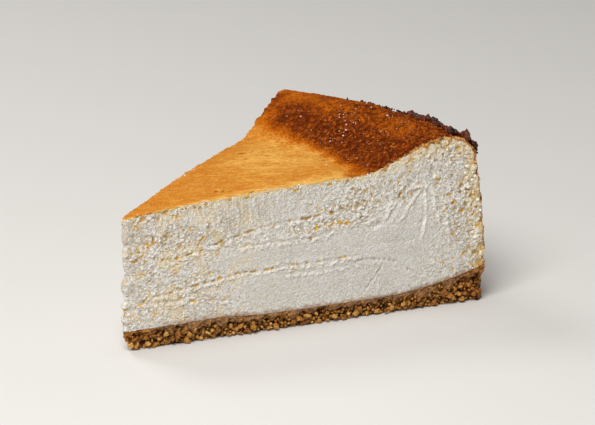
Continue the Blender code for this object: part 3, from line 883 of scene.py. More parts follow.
def lump_variants(tree, inputs, detail, count, smooth):
    """A few uneven balls to scatter, each shaken by its own stretch of noise."""
    join = tree.nodes.new("GeometryNodeJoinGeometry")
    for number in range(count):
        place = made(tree, "GeometryNodeInputPosition")
        place = vector_step(tree, "ADD", {0: place, 1: (7.3 * number, 3.1 * number, 1.7)})
        field = {"Vector": place, "Scale": inputs["Ruggedness"], "Detail": 2.5}
        shake = made(tree, "ShaderNodeTexNoise", field, "Color")
        shake = vector_step(tree, "SUBTRACT", {0: shake, 1: (0.5, 0.5, 0.5)})
        shake = vector_step(tree, "SCALE", {0: shake, "Scale": inputs["Unevenness"]})
        ball = made(tree, "GeometryNodeMeshIcoSphere", {"Radius": 1, "Subdivisions": detail})
        ball = made(tree, "GeometryNodeSetPosition", {"Geometry": ball, "Offset": shake})
        ball = made(tree, "GeometryNodeSetShadeSmooth", {"Geometry": ball, "Shade Smooth": smooth})
        ball = made(tree, "GeometryNodeGeometryToInstance", {"Geometry": ball})
        tree.links.new(ball, join.inputs["Geometry"])
    return join.outputs["Geometry"]


def random_number(tree, inputs, low, high, offset):
    """A random number for each point, between two numbers or sockets, with its own seed."""
    seed = made(tree, "ShaderNodeMath", {0: inputs["Seed"], 1: offset}, operation="ADD")
    return made(tree, "FunctionNodeRandomValue", {2: low, 3: high, "Seed": seed}, 1, data_type="FLOAT")


def random_vector(tree, inputs, low, high, offset):
    """Three random numbers for each point, each with its own seed."""
    axes = {axis: random_number(tree, inputs, low, high, offset + i) for i, axis in enumerate("XYZ")}
    return made(tree, "ShaderNodeCombineXYZ", axes)


def scatter_tree(detail, variants, smooth):
    """Lumps scattered over a surface, thicker where the surface's chance attribute is higher."""
    tree = bpy.data.node_groups.new("scatter_lumps", "GeometryNodeTree")
    kinds = {"Surface": "Geometry", **dict.fromkeys(STREWING_INPUTS, "Float")}
    kinds.update({"Seed": "Int", "Finish": "Material"})
    names = {
        name: tree.interface.new_socket(name, in_out="INPUT", socket_type="NodeSocket" + kind).identifier
        for name, kind in kinds.items()
    }
    tree.interface.new_socket("Lumps", in_out="OUTPUT", socket_type="NodeSocketGeometry")
    inputs = tree.nodes.new("NodeGroupInput").outputs
    strewn = {
        "Mesh": inputs["Surface"],
        "Distance Min": inputs["Spacing"],
        "Density Max": inputs["Density"],
        "Density Factor": made(
            tree, "GeometryNodeInputNamedAttribute", {"Name": "chance"}, "Attribute", data_type="FLOAT"
        ),
        "Seed": inputs["Seed"],
    }
    size = random_vector(tree, inputs, inputs["Flatness"], 1.0, 4)
    grow = random_number(tree, inputs, inputs["Smallest"], inputs["Largest"], 7)
    put = {
        "Points": made(tree, "GeometryNodeDistributePointsOnFaces", strewn, distribute_method="POISSON"),
        "Instance": lump_variants(tree, inputs, detail, variants, smooth),
        "Pick Instance": True,
        "Rotation": random_vector(tree, inputs, 0.0, 2 * math.pi, 1),
        "Scale": vector_step(tree, "SCALE", {0: size, "Scale": grow}),
    }
    lumps = made(tree, "GeometryNodeInstanceOnPoints", put)
    toned = {"Geometry": lumps, "Name": "tone", "Value": random_number(tree, inputs, 0.0, 1.0, 8)}
    lumps = made(tree, "GeometryNodeStoreNamedAttribute", toned, domain="INSTANCE", data_type="FLOAT")
    lumps = made(tree, "GeometryNodeRealizeInstances", {"Geometry": lumps})
    lumps = made(tree, "GeometryNodeSetMaterial", {"Geometry": lumps, "Material": inputs["Finish"]})
    tree.links.new(lumps, tree.nodes.new("NodeGroupOutput").inputs["Lumps"])
    return tree, names


def scatter(name, surface, material, strewing, detail=2, variants=5, smooth=True):
    """Scatters lumps over a surface, and returns them as one plain mesh object. The surface is used up."""
    tree, names = scatter_tree(detail, variants, smooth)
    modifier = surface.modifiers.new("scatter", "NODES")
    modifier.node_group = tree
    spacing = strewing.spacing * MM
    sizes = (spacing, PACKING / spacing**2, strewing.smallest * MM, strewing.largest * MM, *strewing[3:6])
    for socket, value in zip((*STREWING_INPUTS, "Seed", "Finish"), (*sizes, strewing.seed, material)):
        modifier[names[socket]] = value
    graph = bpy.context.evaluated_depsgraph_get()
    mesh = bpy.data.meshes.new_from_object(surface.evaluated_get(graph))
    mesh.name = name
    surface.modifiers.clear()
    bpy.data.objects.remove(surface)
    bpy.data.node_groups.remove(tree)
    piece = bpy.data.objects.new(name, mesh)
    bpy.context.scene.collection.objects.link(piece)
    return piece


def open_surface(name, rows, chance=None):
    """An open surface through rows of points, for lumps to be scattered on."""
    count = len(rows[0])
    points = np.concatenate(rows)
    faces = [
        (k * count + i, k * count + i + 1, (k + 1) * count + i + 1, (k + 1) * count + i)
        for k in range(len(rows) - 1)
        for i in range(count - 1)
    ]
    chance = np.ones(len(points)) if chance is None else chance
    return piece_from(name, points, faces, {"chance": chance})


def keep_above_table(piece):
    """Flattens what would reach below the table."""
    for vertex in piece.data.vertices:
        vertex.co.z = max(vertex.co.z, 0)


def build_curds(shape, plan, name, material):
    """Loose white curds on a cut: along the knife's marks, in the torn patches and under the skin."""
    grid_r, grid_z = (grid[:, ::CURD_STEP] for grid in shape.cut_grid())
    radius, height = grid_r.ravel(), grid_z.ravel()
    angle = plan.side * shape.half_angle(radius)
    moved, masks = cut_offset(shape, radius, height, plan)
    under_skin = shape.top_height(radius) - shape.skin_depth(radius) - height
    chance = masks["chip"] ** 2 * (0.35 + 0.65 * masks["torn"])
    chance += 0.5 * hump(under_skin - 0.3, 1.0) * smooth_step(108, 100, radius)
    chance = np.clip(chance, 0, 1) * (masks["ochre"] < 0.25) * (radius > 1.5)
    points = (shape.place(radius, angle, height) + moved).reshape(*grid_r.shape, 3)
    strewing = Strewing(0.65, 0.12, 0.46, 0.5, 1.1, 1.3, plan.seed + 3)
    return scatter(name, open_surface("curd_field", list(points), chance), material, strewing, detail=1)


def build_fringe(shape, plan, name, material):
    """The crumbly fringe of curds just under the skin, where the knife went in."""
    top_r, top_z = shape.top_profile(np.linspace(0.01, 0.98, 400))
    outward = shape.cut_normal(top_r, plan.side) * smooth_step(1, 6, top_r)[:, None]
    clumps = wave(top_r, top_r * 0, 1.7, 1, plan.seed + 91) - 0.3 * (plan.side == FAR)
    rows = []
    chances = []
    for inset, drop, bar in FRINGE_ROWS:
        height = top_z - drop
        moved = cut_offset(shape, top_r, height, plan)[0] - inset * outward
        rows.append(shape.place(top_r, plan.side * shape.half_angle(top_r), height) + moved)
        thin = 1 - smooth_step(60, 74, top_r) if drop < 0.1 else 1 - 0.8 * smooth_step(72, 88, top_r)
        chances.append(thin * smooth_step(bar - 0.15, bar + 0.15, clumps))
    surface = open_surface("fringe_field", rows, np.concatenate(chances))
    return scatter(name, surface, material, Strewing(0.5, 0.12, 0.42, 0.4, 1.6, 1.5, plan.seed + 6), detail=1)


def build_knobs(shape, plan, name, material):
    """Pale knobs of curd along the corner between a cut and the outer side."""
    inside, turned, chance = np.array(KNOB_COLUMNS).T
    angle = plan.side * (shape.half - turned / shape.radius - 0.3 / shape.radius)
    heights = np.linspace(shape.curb + 1, shape.shoulder_height - 1, 24)
    rows = [
        shape.place(float(shape.side_radius(np.array(height))) - inside, angle, np.full(len(inside), height))
        for height in heights
    ]
    surface = open_surface("knob_field", rows, np.tile(chance, len(rows)))
    strewing = Strewing(1.4, 0.45, 1.15, 0.5, 1.4, 1.4, plan.seed + 9)
    return scatter(name, surface, material, strewing, variants=6)


def build_crags(shape, size, material):
    """Burnt, glassy crags along the rim's outer edge: coarse ones near the cut, and grit further round."""
    coarse = Strewing(size * 0.75, size * 0.35, size * 1.3, 0.4, 2.1, 1.7, 5)
    fine = Strewing(size * 0.5, size * 0.15, size * 0.5, 0.4, 1.9, 1.9, 9)
    bands = (
        ("rim_crags", (0.08, 0.85), coarse, (0.5, -0.5)),
        ("rim_grit", (0.18, 0.95), fine, (1.0, 0.3)),
    )
    angle = np.linspace(-1, 1, 90) * (shape.half - 0.008)
    around = angle * shape.radius
    wavy = 0.8 * wave(around, angle * 0, 4, 1, 91)
    pieces = []
    for name, turns, strewing, (first, full) in bands:
        rows = []
        chances = []
        for row, turn in enumerate(np.linspace(*turns, CRAG_ROWS)):
            radius = shape.shoulder_start + SHOULDER_WIDTH * math.sin(turn * math.pi / 2)
            height = float(shape.top_height(np.array(radius)))
            out = 0.6 + 0.5 * smooth_step(0.3, 0.9, turn)
            rows.append(shape.place(radius + out + wavy * 0.3, angle, height + 0.3 + wavy * 0.5))
            bare = smooth_step(-0.5, 0.0, wave(around, angle * 0 + 3 * row, 5, 5, 93))
            low = 1 - row / (CRAG_ROWS - 1)
            chances.append(smooth_step(first, full, angle / shape.half + 0.8 * low**2) * bare)
        surface = open_surface("crag_band", rows, np.concatenate(chances))
        pieces.append(scatter(name, surface, material, strewing, variants=6))
    return pieces


def build_beads(shape, material):
    """Small beads of fat that sweated out on the browned slope, mostly in the middle of it."""
    radius = np.linspace(72, 108, 60)
    rows = []
    chances = []
    for turn in np.linspace(-0.95, 0.95, 90):
        angle = np.full(len(radius), turn * shape.half)
        rows.append(shape.place(radius, angle, shape.top_height(radius) + 0.1))
        middle = np.exp(-(((radius - 91) / 9) ** 2) - ((turn - 0.1) / 0.5) ** 2)
        clumps = smooth_step(-0.1, 0.35, wave(radius, angle * 90, 5, 5, 171))
        chances.append((0.9 * middle + 0.1) * clumps)
    surface = open_surface("bead_field", rows, np.concatenate(chances))
    strewing = Strewing(1.2, 0.1, 0.5, 0.5, 1.3, 1.4, 17)
    return scatter("fat_beads", surface, material, strewing, detail=1, variants=4)


def undercut(radius, share):
    """How far the base's foot stands back at the tip, where its crumbs fell away."""
    return 2.4 * smooth_step(11, 2, radius) * smooth_step(0.65, 0.15, share)


def outward_from(shape, radius, angle, where):
    """The level direction out of the slice at points of its outlines."""
    out = shape.radial(angle)
    for side in (NEAR, FAR):
        cut = where == side
        out[cut] = shape.cut_normal(radius[cut], side)
    return out


def build_base(shape):
    """The pressed crumb base: a firm soaked band at the top, and a core set back behind the loose crumbs."""
    radius = shape.spread(BASE_COLUMNS, shape.radius)
    levels = np.linspace(0, 1, BASE_ROWS + 1)
    all_r = np.repeat(radius[:, None], BASE_ROWS + 1, axis=1)
    all_z = shape.base_height(radius)[:, None] * levels[None, :]
    shell = Shell(shape, all_r, all_z, BASE_ARC)
    shell.close_flat()
    r, z, where = shell.radius, shell.height, shell.where
    around = np.where(where == 0, shell.angle * shape.radius + 900, r + 300 * where)
    share = z / shape.base_height(r)
    shift = wave(around, z, 1.4, 1.4, 203)
    ragged = 0.3 * wave(around, z, 3.2, 60, 201) + 0.25 * wave(around, z, 1.3, 1.3, 202)
    firm = smooth_step(0.6, 0.8, share + ragged)
    loose = 1 - firm
    lumps = cells(around + 0.7 * shift, z, 1.7, 204)
    small = cells(around, z + 0.4 * shift, 0.85, 205)
    rise = loose * (1.5 * (0.5 - lumps) - 1.7) + (0.35 + 0.5 * loose) * (0.45 - small)
    rise += firm * (0.3 * shift - 0.5 * smooth_step(0.12, 0.4, wave(around, z, 1.1, 0.9, 207)))
    rise[share > 0.999] = np.minimum(rise[share > 0.999], 0)
    tone = cell_tones(around + 0.7 * shift, z, 1.7, 204)
    # Painted shade between the loose crumbs of the core, where the lumps leave gaps.
    gap = np.maximum(loose * smooth_step(0.42, 0.62, lumps), 0.7 * loose * smooth_step(0.45, 0.65, small))
    out = outward_from(shape, r, shell.angle, where)
    points = shell.points + out * (rise * (0.3 + 0.7 * smooth_step(0, 3, r)))[:, None]
    points[:, 0] += undercut(r, share)
    rust = (where == 0) + smooth_step(14, 2, shape.radius - r) + smooth_step(14, 5, r)
    masks = {"firm": firm * smooth_step(7, 12, r + 2 * shift), "rust": rust, "tone": tone, "gap": gap}
    piece = piece_from("crumb_core", points, shell.faces, masks)
    face_outwards(piece)
    return piece


def build_crumbs(shape, size, material):
    """Loose biscuit crumbs packed along the foot of the base: fine ones, and large ones that stand out."""
    radius = shape.spread(160, shape.radius - 0.8)
    fine = Strewing(0.9 * size, 0.28 * size, 0.62 * size, 0.5, 1.9, 2.4, 31)
    coarse = Strewing(1.7 * size, 0.5 * size, 1.2 * size, 0.5, 2.1, 2.3, 32)
    pieces = []
    for name, inset, shares, strewing in (
        ("fine_crumbs", 1.0, (0.05, 0.82), fine),
        ("coarse_crumbs", 0.6, (0.1, 0.62), coarse),
    ):
        rows = []
        for share in np.linspace(*shares, 5):
            ring_r, ring_a, ring_z, where = shape.ring(radius, shape.base_height(radius) * share, 70)
            along = ring_r + 200 * ring_a
            back = inset + 0.9 * wave(along, ring_z, 3.4, 2.5, 221)
            lift = 0.5 * smooth_step(0.0, 0.3, wave(along, ring_z * 0, 4.5, 1, 222)) * (1 - share)
            points = shape.place(ring_r, ring_a, ring_z + lift)
            points -= outward_from(shape, ring_r, ring_a, where) * back[:, None]
            points[:, 0] += undercut(ring_r, share)
            rows.append(np.concatenate((points, points[:1])))
        piece = scatter(name, open_surface("crumb_band", rows), material, strewing, variants=8, smooth=False)
        keep_above_table(piece)
        pieces.append(piece)
    return pieces


# Finishes

class Finish:
    """A procedural material whose colours are laid over one another, each one where its share says."""

    def __init__(self, name, roughness, specular):
        self.material = bpy.data.materials.new(name)
        self.material.use_nodes = True
        self.tree = self.material.node_tree
        self.shader = self.tree.nodes["Principled BSDF"]
        self.shader.inputs["Roughness"].default_value = roughness
        self.shader.inputs["Specular IOR Level"].default_value = specular
        self.colour = None

    def mask(self, name):
        """The value that a piece's mesh holds under this name."""
        return made(self.tree, "ShaderNodeAttribute", result="Fac", attribute_name=name)

    def place(self):
        return made(self.tree, "ShaderNodeTexCoord", result="Object")

    def grain(self, size, detail=2.0, smear=1.0):
        """Noise with features of this size in millimetres, from 0 to 1, and drawn out along the smear."""
        turned = {"Vector": self.place(), "Rotation": (0, 0, SMEAR_TURN), "Scale": (smear, 1, 1)}
        place = made(self.tree, "ShaderNodeMapping", turned, vector_type="TEXTURE")
        field = {"Vector": place, "Scale": 1 / (size * MM), "Detail": detail}
        return made(self.tree, "ShaderNodeTexNoise", field, result="Fac")

    def spread(self, value, low, high, out_low=0.0, out_high=1.0):
        """Stretches a value from one range to another, and holds it there."""
        ends = {"Value": value, "From Min": low, "From Max": high, "To Min": out_low, "To Max": out_high}
        return made(self.tree, "ShaderNodeMapRange", ends, interpolation_type="SMOOTHSTEP")

    def times(self, one, other):
        return made(self.tree, "ShaderNodeMath", {0: one, 1: other}, operation="MULTIPLY")

    def plus(self, one, other):
        return made(self.tree, "ShaderNodeMath", {0: one, 1: other}, operation="ADD")

    def shaken(self, mask, by, amount):
        """A mask whose edge is broken up by a grain."""
        return self.plus(self.mask(mask), self.spread(by, 0.25, 0.75, -amount, amount))

    def mix(self, share, one, other):
        """Mixes two colours, given as colours or as sockets."""
        first, second = (
            value if isinstance(value, bpy.types.NodeSocket) else (*value, 1) for value in (one, other)
        )
        feeds = {"Factor": share, 6: first, 7: second}
        return made(self.tree, "ShaderNodeMix", feeds, 2, data_type="RGBA", clamp_factor=True)

    def lay(self, share, colour):
        """Lays one more colour over what is there."""
        self.colour = self.mix(share, self.colour, colour)

    def bump(self, depth, *heights):
        """Fine relief in the shader: the sum of (value, weight) pairs, with its depth in millimetres."""
        total = self.times(*heights[0])
        for value, weight in heights[1:]:
            total = self.plus(total, self.times(value, weight))
        normal = made(self.tree, "ShaderNodeBump", {"Height": total, "Distance": depth * MM})
        self.tree.links.new(normal, self.shader.inputs["Normal"])

    def glow(self, weight, radius, scale):
        """Light that soaks in and comes out again nearby. The scale is in millimetres."""
        self.shader.inputs["Subsurface Weight"].default_value = weight
        self.shader.inputs["Subsurface Radius"].default_value = radius
        self.shader.inputs["Subsurface Scale"].default_value = scale * MM

    def done(self):
        self.tree.links.new(self.colour, self.shader.inputs["Base Color"])
        return self.material


def cheese_finish(colours):
    """Off-white baked cheese: moist, ochre inside its pores, toasted at its edges, soaked at its foot."""
    look = Finish("baked_cheese", 0.55, 0.3)
    fine = look.grain(0.45, 3)
    specks = look.grain(0.26, 1)
    look.colour = look.mix(look.spread(look.grain(7, 3), 0.35, 0.7), colours.cheese, colours.cheese_shade)
    # Painted highlight on the raised curd, lips and folds, together with the whiter broken curd of the chips.
    look.lay(look.times(look.mask("chip"), 0.85), colours.chip_white_and_highlight)
    # Painted shade, tinted warm, in the hollows of the cut.
    look.lay(look.times(look.mask("hollow"), look.spread(fine, 0.35, 0.6, 0.9, 0.3)), colours.hollow_shade)
    # The finest bump grain gets a painted highlight on its tops and painted shade in its lows.
    look.lay(look.spread(specks, 0.56, 0.68, 0, 0.9), colours.chip_white_and_highlight)
    look.lay(look.spread(specks, 0.42, 0.3, 0, 0.5), colours.hollow_shade)
    look.lay(look.times(look.mask("cream"), look.spread(fine, 0.3, 0.7, 0.35, 0.85)), colours.cream)
    # The pores' yellow and tan: the curd's ochre tint, with painted shade and painted glow of light that soaks
    # through the curd.
    pore = look.mix(look.spread(look.grain(2.6, 1), 0.42, 0.6), colours.pore_tan, colours.pore)
    look.lay(look.spread(look.shaken("ochre", fine, 0.12), 0.15, 0.85), pore)
    look.lay(look.spread(look.shaken("toast", fine, 0.2), 0.2, 0.85, 0, 0.92), colours.toast)
    look.lay(look.mask("browned"), colours.toffee)
    look.lay(look.spread(look.shaken("soak", fine, 0.15), 0.1, 1.05, 0, 0.75), colours.soaked)
    look.bump(0.42, (fine, 0.8), (specks, 0.35), (look.grain(1.1, 2), 0.6))
    look.glow(0.2, (1.0, 0.75, 0.4), 0.5)
    return look.done()


def curd_finish(name, plain, pale, warm):
    """Loose curds of the filling, each a little paler or warmer than the next."""
    look = Finish(name, 0.5, 0.3)
    fine = look.grain(0.4, 2)
    tone = look.shaken("tone", fine, 0.2)
    look.colour = look.mix(look.spread(tone, 0.0, 0.8), plain, pale)
    look.lay(look.spread(tone, 0.8, 1.0, 0, 0.6), warm)
    look.bump(0.2, (fine, 1.0))
    look.glow(0.25, (1.0, 0.75, 0.4), 0.8)
    return look.done()


def skin_finish(colours):
    """The baked skin: golden and satin in the dish, deep brown and blistered on the rim with painted glints on
    the blisters and painted shade in their creases, pale where cut.
    """
    look = Finish("browned_skin", 0.45, 0.025)
    fine = look.grain(0.55, 3)
    smear = look.grain(1.4, 3, 3)
    flecks = look.grain(0.75, 2, 2)
    brown = look.plus(look.shaken("brown", fine, 0.16), look.spread(look.grain(4, 3), 0.3, 0.7, -0.08, 0.08))
    look.colour = look.mix(look.spread(smear, 0.35, 0.7), colours.golden, colours.golden_deep)
    look.lay(look.times(look.mask("pale"), look.spread(fine, 0.3, 0.65, 0.3, 1.0)), colours.golden_pale)
    look.lay(look.spread(flecks, 0.54, 0.7, 0, 0.65), colours.golden_pale)
    look.lay(look.spread(flecks, 0.47, 0.32, 0, 0.65), colours.orange)
    look.lay(look.times(look.mask("patch"), look.spread(fine, 0.25, 0.65, 0.4, 1.3)), colours.orange)
    look.lay(look.spread(brown, -0.02, 0.34), colours.toffee)
    look.lay(look.spread(brown, 0.24, 0.68), colours.amber)
    look.lay(look.spread(brown, 0.55, 1.05), colours.brown)
    rough = look.times(look.spread(brown, 0.15, 0.6), look.mask("pebbly"))
    look.lay(look.times(look.spread(look.grain(1.5, 4), 0.5, 0.62, 0, 0.8), rough), colours.brown_dark_and_crease_shade)
    look.lay(look.times(look.spread(look.grain(0.6, 2), 0.54, 0.64, 0, 0.85), rough), colours.toffee)
    # Painted glints: small pale flecks on the blistered slope that stand in for highlights.
    look.lay(look.times(look.spread(look.grain(0.5, 1), 0.62, 0.7, 0, 0.9), rough), colours.blister)
    # Painted shade in the creases between the blisters.
    look.lay(look.times(look.mask("crease"), look.spread(brown, 0.2, 0.8, 0, 0.75)), colours.brown_dark_and_crease_shade)
    look.lay(look.spread(look.mask("scar"), 0.15, 0.8, 0, 0.85), colours.amber_dark)
    toasted = look.times(look.spread(fine, 0.62, 0.45), look.spread(brown, 0.0, 0.5))
    look.lay(look.mask("edge"), look.mix(toasted, colours.cut_edge, colours.toast))
    look.tree.links.new(look.spread(brown, 0.1, 0.9, 0.52, 0.4), look.shader.inputs["Roughness"])
    look.bump(0.4, (fine, 1.0), (look.grain(0.3, 1), 0.5))
    look.glow(0.1, (1.0, 0.4, 0.12), 0.4)
    return look.done()


def bead_finish(colours):
    """Clear beads of fat that catch the light."""
    look = Finish("fat_bead", 0.12, 0.8)
    look.colour = look.mix(look.spread(look.mask("tone"), 0.2, 1.0), colours.bead, colours.amber)
    return look.done()


def burnt_finish(colours):
    """Burnt sugar and curd: nearly black with a red-brown glow on its edges, and glassy."""
    look = Finish("burnt_crag", 0.22, 0.35)
    fine = look.grain(0.7, 3)
    tone = look.plus(look.times(look.mask("tone"), 0.45), look.times(fine, 0.7))
    look.colour = look.mix(look.spread(tone, 0.3, 0.85), colours.burnt, colours.burnt_edge)
    look.bump(0.45, (fine, 1.0), (look.grain(0.35, 1), 0.5))
    return look.done()


def crumb_finish(colours):
    """Buttery biscuit crumbs, each with its own tone, and caramelised towards the outer side."""
    look = Finish("biscuit_crumb", 0.5, 0.15)
    fine = look.grain(0.4, 3)
    tone = look.shaken("tone", fine, 0.45)
    look.colour = look.mix(look.spread(tone, -0.1, 0.7), colours.crumb_dark, colours.crumb)
    look.lay(look.spread(tone, 0.7, 1.3), colours.crumb_light)
    along = made(look.tree, "ShaderNodeSeparateXYZ", {"Vector": look.place()})
    look.lay(look.spread(along, CARAMEL_START * MM, CARAMEL_FULL * MM, 0, 0.45), colours.rust)
    look.bump(0.5, (fine, 1.0), (look.grain(0.9, 2), 1.2))
    look.glow(0.1, (1.0, 0.5, 0.2), 0.4)
    return look.done()


def core_finish(colours):
    """The firm part of the base: crumbs soaked together at the top, with painted shade between the loose
    crumbs below.
    """
    look = Finish("soaked_base", 0.62, 0.15)
    fine = look.grain(0.45, 3)
    coarse = look.grain(1.1, 2)
    soaked = look.mix(look.spread(fine, 0.35, 0.65), colours.soaked_dark, colours.soaked)
    soaked = look.mix(look.spread(coarse, 0.5, 0.7, 0, 0.8), soaked, colours.crumb)
    tone = look.shaken("tone", fine, 0.4)
    look.colour = look.mix(look.spread(tone, 0.0, 0.8), colours.crumb_dark, colours.crumb)
    look.lay(look.spread(tone, 0.8, 1.3), colours.crumb_light)
    look.lay(look.mask("firm"), soaked)
    rust = look.times(look.mask("rust"), look.spread(coarse, 0.3, 0.6))
    look.lay(look.times(rust, 0.7), colours.rust)
    # Painted shade between the loose crumbs.
    look.lay(look.times(look.mask("gap"), 0.9), colours.gap)
    look.bump(0.55, (fine, 1.0), (coarse, 0.9))
    return look.done()


def floor_finish(colours):
    """Plain pale floor."""
    look = Finish("pale_floor", 0.6, 0.3)
    look.colour = look.mix(look.spread(look.grain(60, 2), 0.3, 0.7, 0, 0.06), colours.floor, FLOOR_SHADE)
    return look.done()


# Properties, operators and the panel

def length(name, description, default):
    return bpy.props.FloatProperty(
        name=name, description=description, default=default, unit="LENGTH", precision=4
    )


def colour(name, description, default):
    return bpy.props.FloatVectorProperty(
        name=name, description=description, default=default, subtype="COLOR", size=3, min=0, max=1
    )


class SliceSizes(bpy.types.PropertyGroup):
    """Sizes of the slice."""

    cake_radius: length("Cake radius", "Radius of the whole cake at its foot", 0.117)
    slice_angle: bpy.props.FloatProperty(
        name="Slice angle", description="Angle between the two cuts", default=math.radians(38.5),
        unit="ROTATION",
    )
    centre_height: length("Centre height", "Height of the top at the cake's middle", 0.0393)
    dish_height: length("Dish height", "Height of the top where the dish ends", 0.0433)
    crest_height: length("Crest height", "Height of the risen rim", 0.052)
    base_thickness: length("Base thickness", "Thickness of the crumb base", 0.0061)
    curb_height: length("Curb height", "Height of the crumb base at the outer side", 0.011)
    skin_thickness: length("Skin thickness", "Thickness of the browned skin", 0.0007)
    tip_bluntness: length("Tip bluntness", "Radius of the rounded tip", 0.0007)
    crag_size: length("Crag size", "Radius of the largest burnt crags", 0.0016)
    crumb_scale: bpy.props.FloatProperty(
        name="Crumb scale", description="Size of the loose crumbs, against their usual one", default=1.0,
        min=0.5, max=1.5,
    )


class SliceColours(bpy.types.PropertyGroup):
    """Colours of the slice."""

    cheese: colour("Cheese", "The filling where it is smooth", (0.72, 0.70, 0.67))
    cheese_shade: colour("Cheese shade", "The filling's slightly darker stretches", (0.66, 0.637, 0.595))
    # Whiter broken curd, which is also the painted highlight on the cut's raised curd.
    chip_white_and_highlight: colour("Cheese chips", "Fresh chips on the cut", (0.94, 0.92, 0.88))
    # Painted shade, tinted warm, for the low grain and hollows of the cut.
    hollow_shade: colour("Cheese hollows", "The small hollows of the cut", (0.47, 0.35, 0.19))
    cream: colour("Cream", "The filling just inside the crust", (0.86, 0.68, 0.38))
    knob: colour("Knobs", "The knobs of curd at the outer side", (0.78, 0.64, 0.41))
    # The curd's slight ochre tint inside the pores, with painted shade and painted glow of light that soaks
    # through the curd.
    pore: colour("Pore", "The inside of a yellow pore", (0.80, 0.46, 0.06))
    pore_tan: colour("Tan pore", "The inside of a tan pore", (0.50, 0.34, 0.15))
    toast: colour("Toast", "The toasted edge of the filling", (0.50, 0.19, 0.03))
    cut_edge: colour("Cut edge", "The lighter part of the skin's cut edge", (0.84, 0.57, 0.22))
    golden: colour("Golden", "The skin in the dish", (0.78, 0.36, 0.052))
    golden_deep: colour("Deep golden", "Streaks of the skin in the dish", (0.64, 0.23, 0.024))
    golden_pale: colour("Pale golden", "Pale flecks of the skin in the dish", (0.92, 0.55, 0.14))
    orange: colour("Orange", "Darker patches near the tip", (0.58, 0.19, 0.02))
    toffee: colour("Toffee", "The skin where it starts to brown", (0.53, 0.125, 0.002))
    amber: colour("Amber", "The skin of the crest", (0.34, 0.06, 0.001))
    amber_dark: colour("Dark amber", "Scars of the skin", (0.24, 0.06, 0.010))
    brown: colour("Brown", "The skin on the slope of the rim", (0.21, 0.03, 0.001))
    # Dark brown mottles of the slope, and the painted shade in the creases between its blisters.
    brown_dark_and_crease_shade: colour("Dark brown", "The darkest blisters of the slope", (0.065, 0.008, 0.0005))
    # Painted glints on the blisters of the slope.
    blister: colour("Blister", "The palest blisters of the slope", (0.66, 0.27, 0.06))
    bead: colour("Bead", "Beads of fat on the slope", (0.80, 0.58, 0.50))
    burnt: colour("Burnt", "The darkest crags", (0.025, 0.006, 0.003))
    burnt_edge: colour("Burnt edge", "The thinner edges of the crags", (0.15, 0.024, 0.003))
    crumb: colour("Crumb", "Most biscuit crumbs", (0.61, 0.28, 0.06))
    crumb_light: colour("Light crumb", "The lightest biscuit crumbs", (0.90, 0.56, 0.18))
    crumb_dark: colour("Dark crumb", "The darker biscuit crumbs", (0.24, 0.085, 0.017))
    rust: colour("Caramel", "Caramelised crumbs at the outer side", (0.52, 0.17, 0.025))
    soaked: colour("Soaked", "The base where the filling soaked it", (0.38, 0.205, 0.095))
    soaked_dark: colour("Dark soaked", "Darker grains of the soaked base", (0.20, 0.085, 0.034))
    gap: colour("Gap", "The shade between the loose crumbs", (0.035, 0.013, 0.005))
    floor: colour("Floor", "The floor under the slice", (0.76, 0.75, 0.73))


class CHEESECAKE_OT_filling(bpy.types.Operator):
    """Builds the cheese filling with its two cuts and outer side"""

    bl_idname = "cheesecake.filling"
    bl_label = "Cheese filling"

    def execute(self, context):
        shape = CakeShape(context.scene.slice_sizes)
        material = cheese_finish(context.scene.slice_colours)
        hand_over(build_cut(shape, NEAR_CUT, "near_cut"), FILLING, "baked_cheese", material)
        hand_over(build_cut(shape, FAR_CUT, "far_cut"), FILLING, "baked_cheese", material)
        hand_over(build_side(shape), FILLING, "baked_cheese", material)
        return {"FINISHED"}


class CHEESECAKE_OT_skin(bpy.types.Operator):
    """Builds the browned skin of the top"""

    bl_idname = "cheesecake.skin"
    bl_label = "Browned skin"

    def execute(self, context):
        piece = build_skin(CakeShape(context.scene.slice_sizes))
        hand_over(piece, FILLING, "browned_top", skin_finish(context.scene.slice_colours))
        return {"FINISHED"}


class CHEESECAKE_OT_crags(bpy.types.Operator):
    """Scatters burnt crags along the outer edge of the rim"""

    bl_idname = "cheesecake.crags"
    bl_label = "Burnt crags"

    def execute(self, context):
        sizes = context.scene.slice_sizes
        material = burnt_finish(context.scene.slice_colours)
        for piece in build_crags(CakeShape(sizes), sizes.crag_size / MM, material):
            hand_over(piece, FILLING, "burnt_crag")
        return {"FINISHED"}


class CHEESECAKE_OT_curds(bpy.types.Operator):
    """Scatters loose curds over the two cuts"""

    bl_idname = "cheesecake.curds"
    bl_label = "Loose curds"

    def execute(self, context):
        shape = CakeShape(context.scene.slice_sizes)
        colours = context.scene.slice_colours
        material = curd_finish("loose_curd", colours.cheese, colours.chip_white_and_highlight, colours.cream)
        knob = curd_finish("curd_knob", colours.knob, colours.chip_white_and_highlight, colours.cream)
        for plan, name in ((NEAR_CUT, "near_curds"), (FAR_CUT, "far_curds")):
            hand_over(build_curds(shape, plan, name, material), FILLING, "baked_cheese")
        for plan, name in ((NEAR_CUT, "near_fringe"), (FAR_CUT, "far_fringe")):
            hand_over(build_fringe(shape, plan, name, material), FILLING, "baked_cheese")
        for plan, name in ((NEAR_CUT, "near_knobs"), (FAR_CUT, "far_knobs")):
            hand_over(build_knobs(shape, plan, name, knob), FILLING, "baked_cheese")
        return {"FINISHED"}


class CHEESECAKE_OT_beads(bpy.types.Operator):
    """Scatters small beads of fat over the slope of the rim"""

    bl_idname = "cheesecake.beads"
    bl_label = "Beads of fat"

    def execute(self, context):
        shape = CakeShape(context.scene.slice_sizes)
        hand_over(build_beads(shape, bead_finish(context.scene.slice_colours)), FILLING, "browned_top")
        return {"FINISHED"}


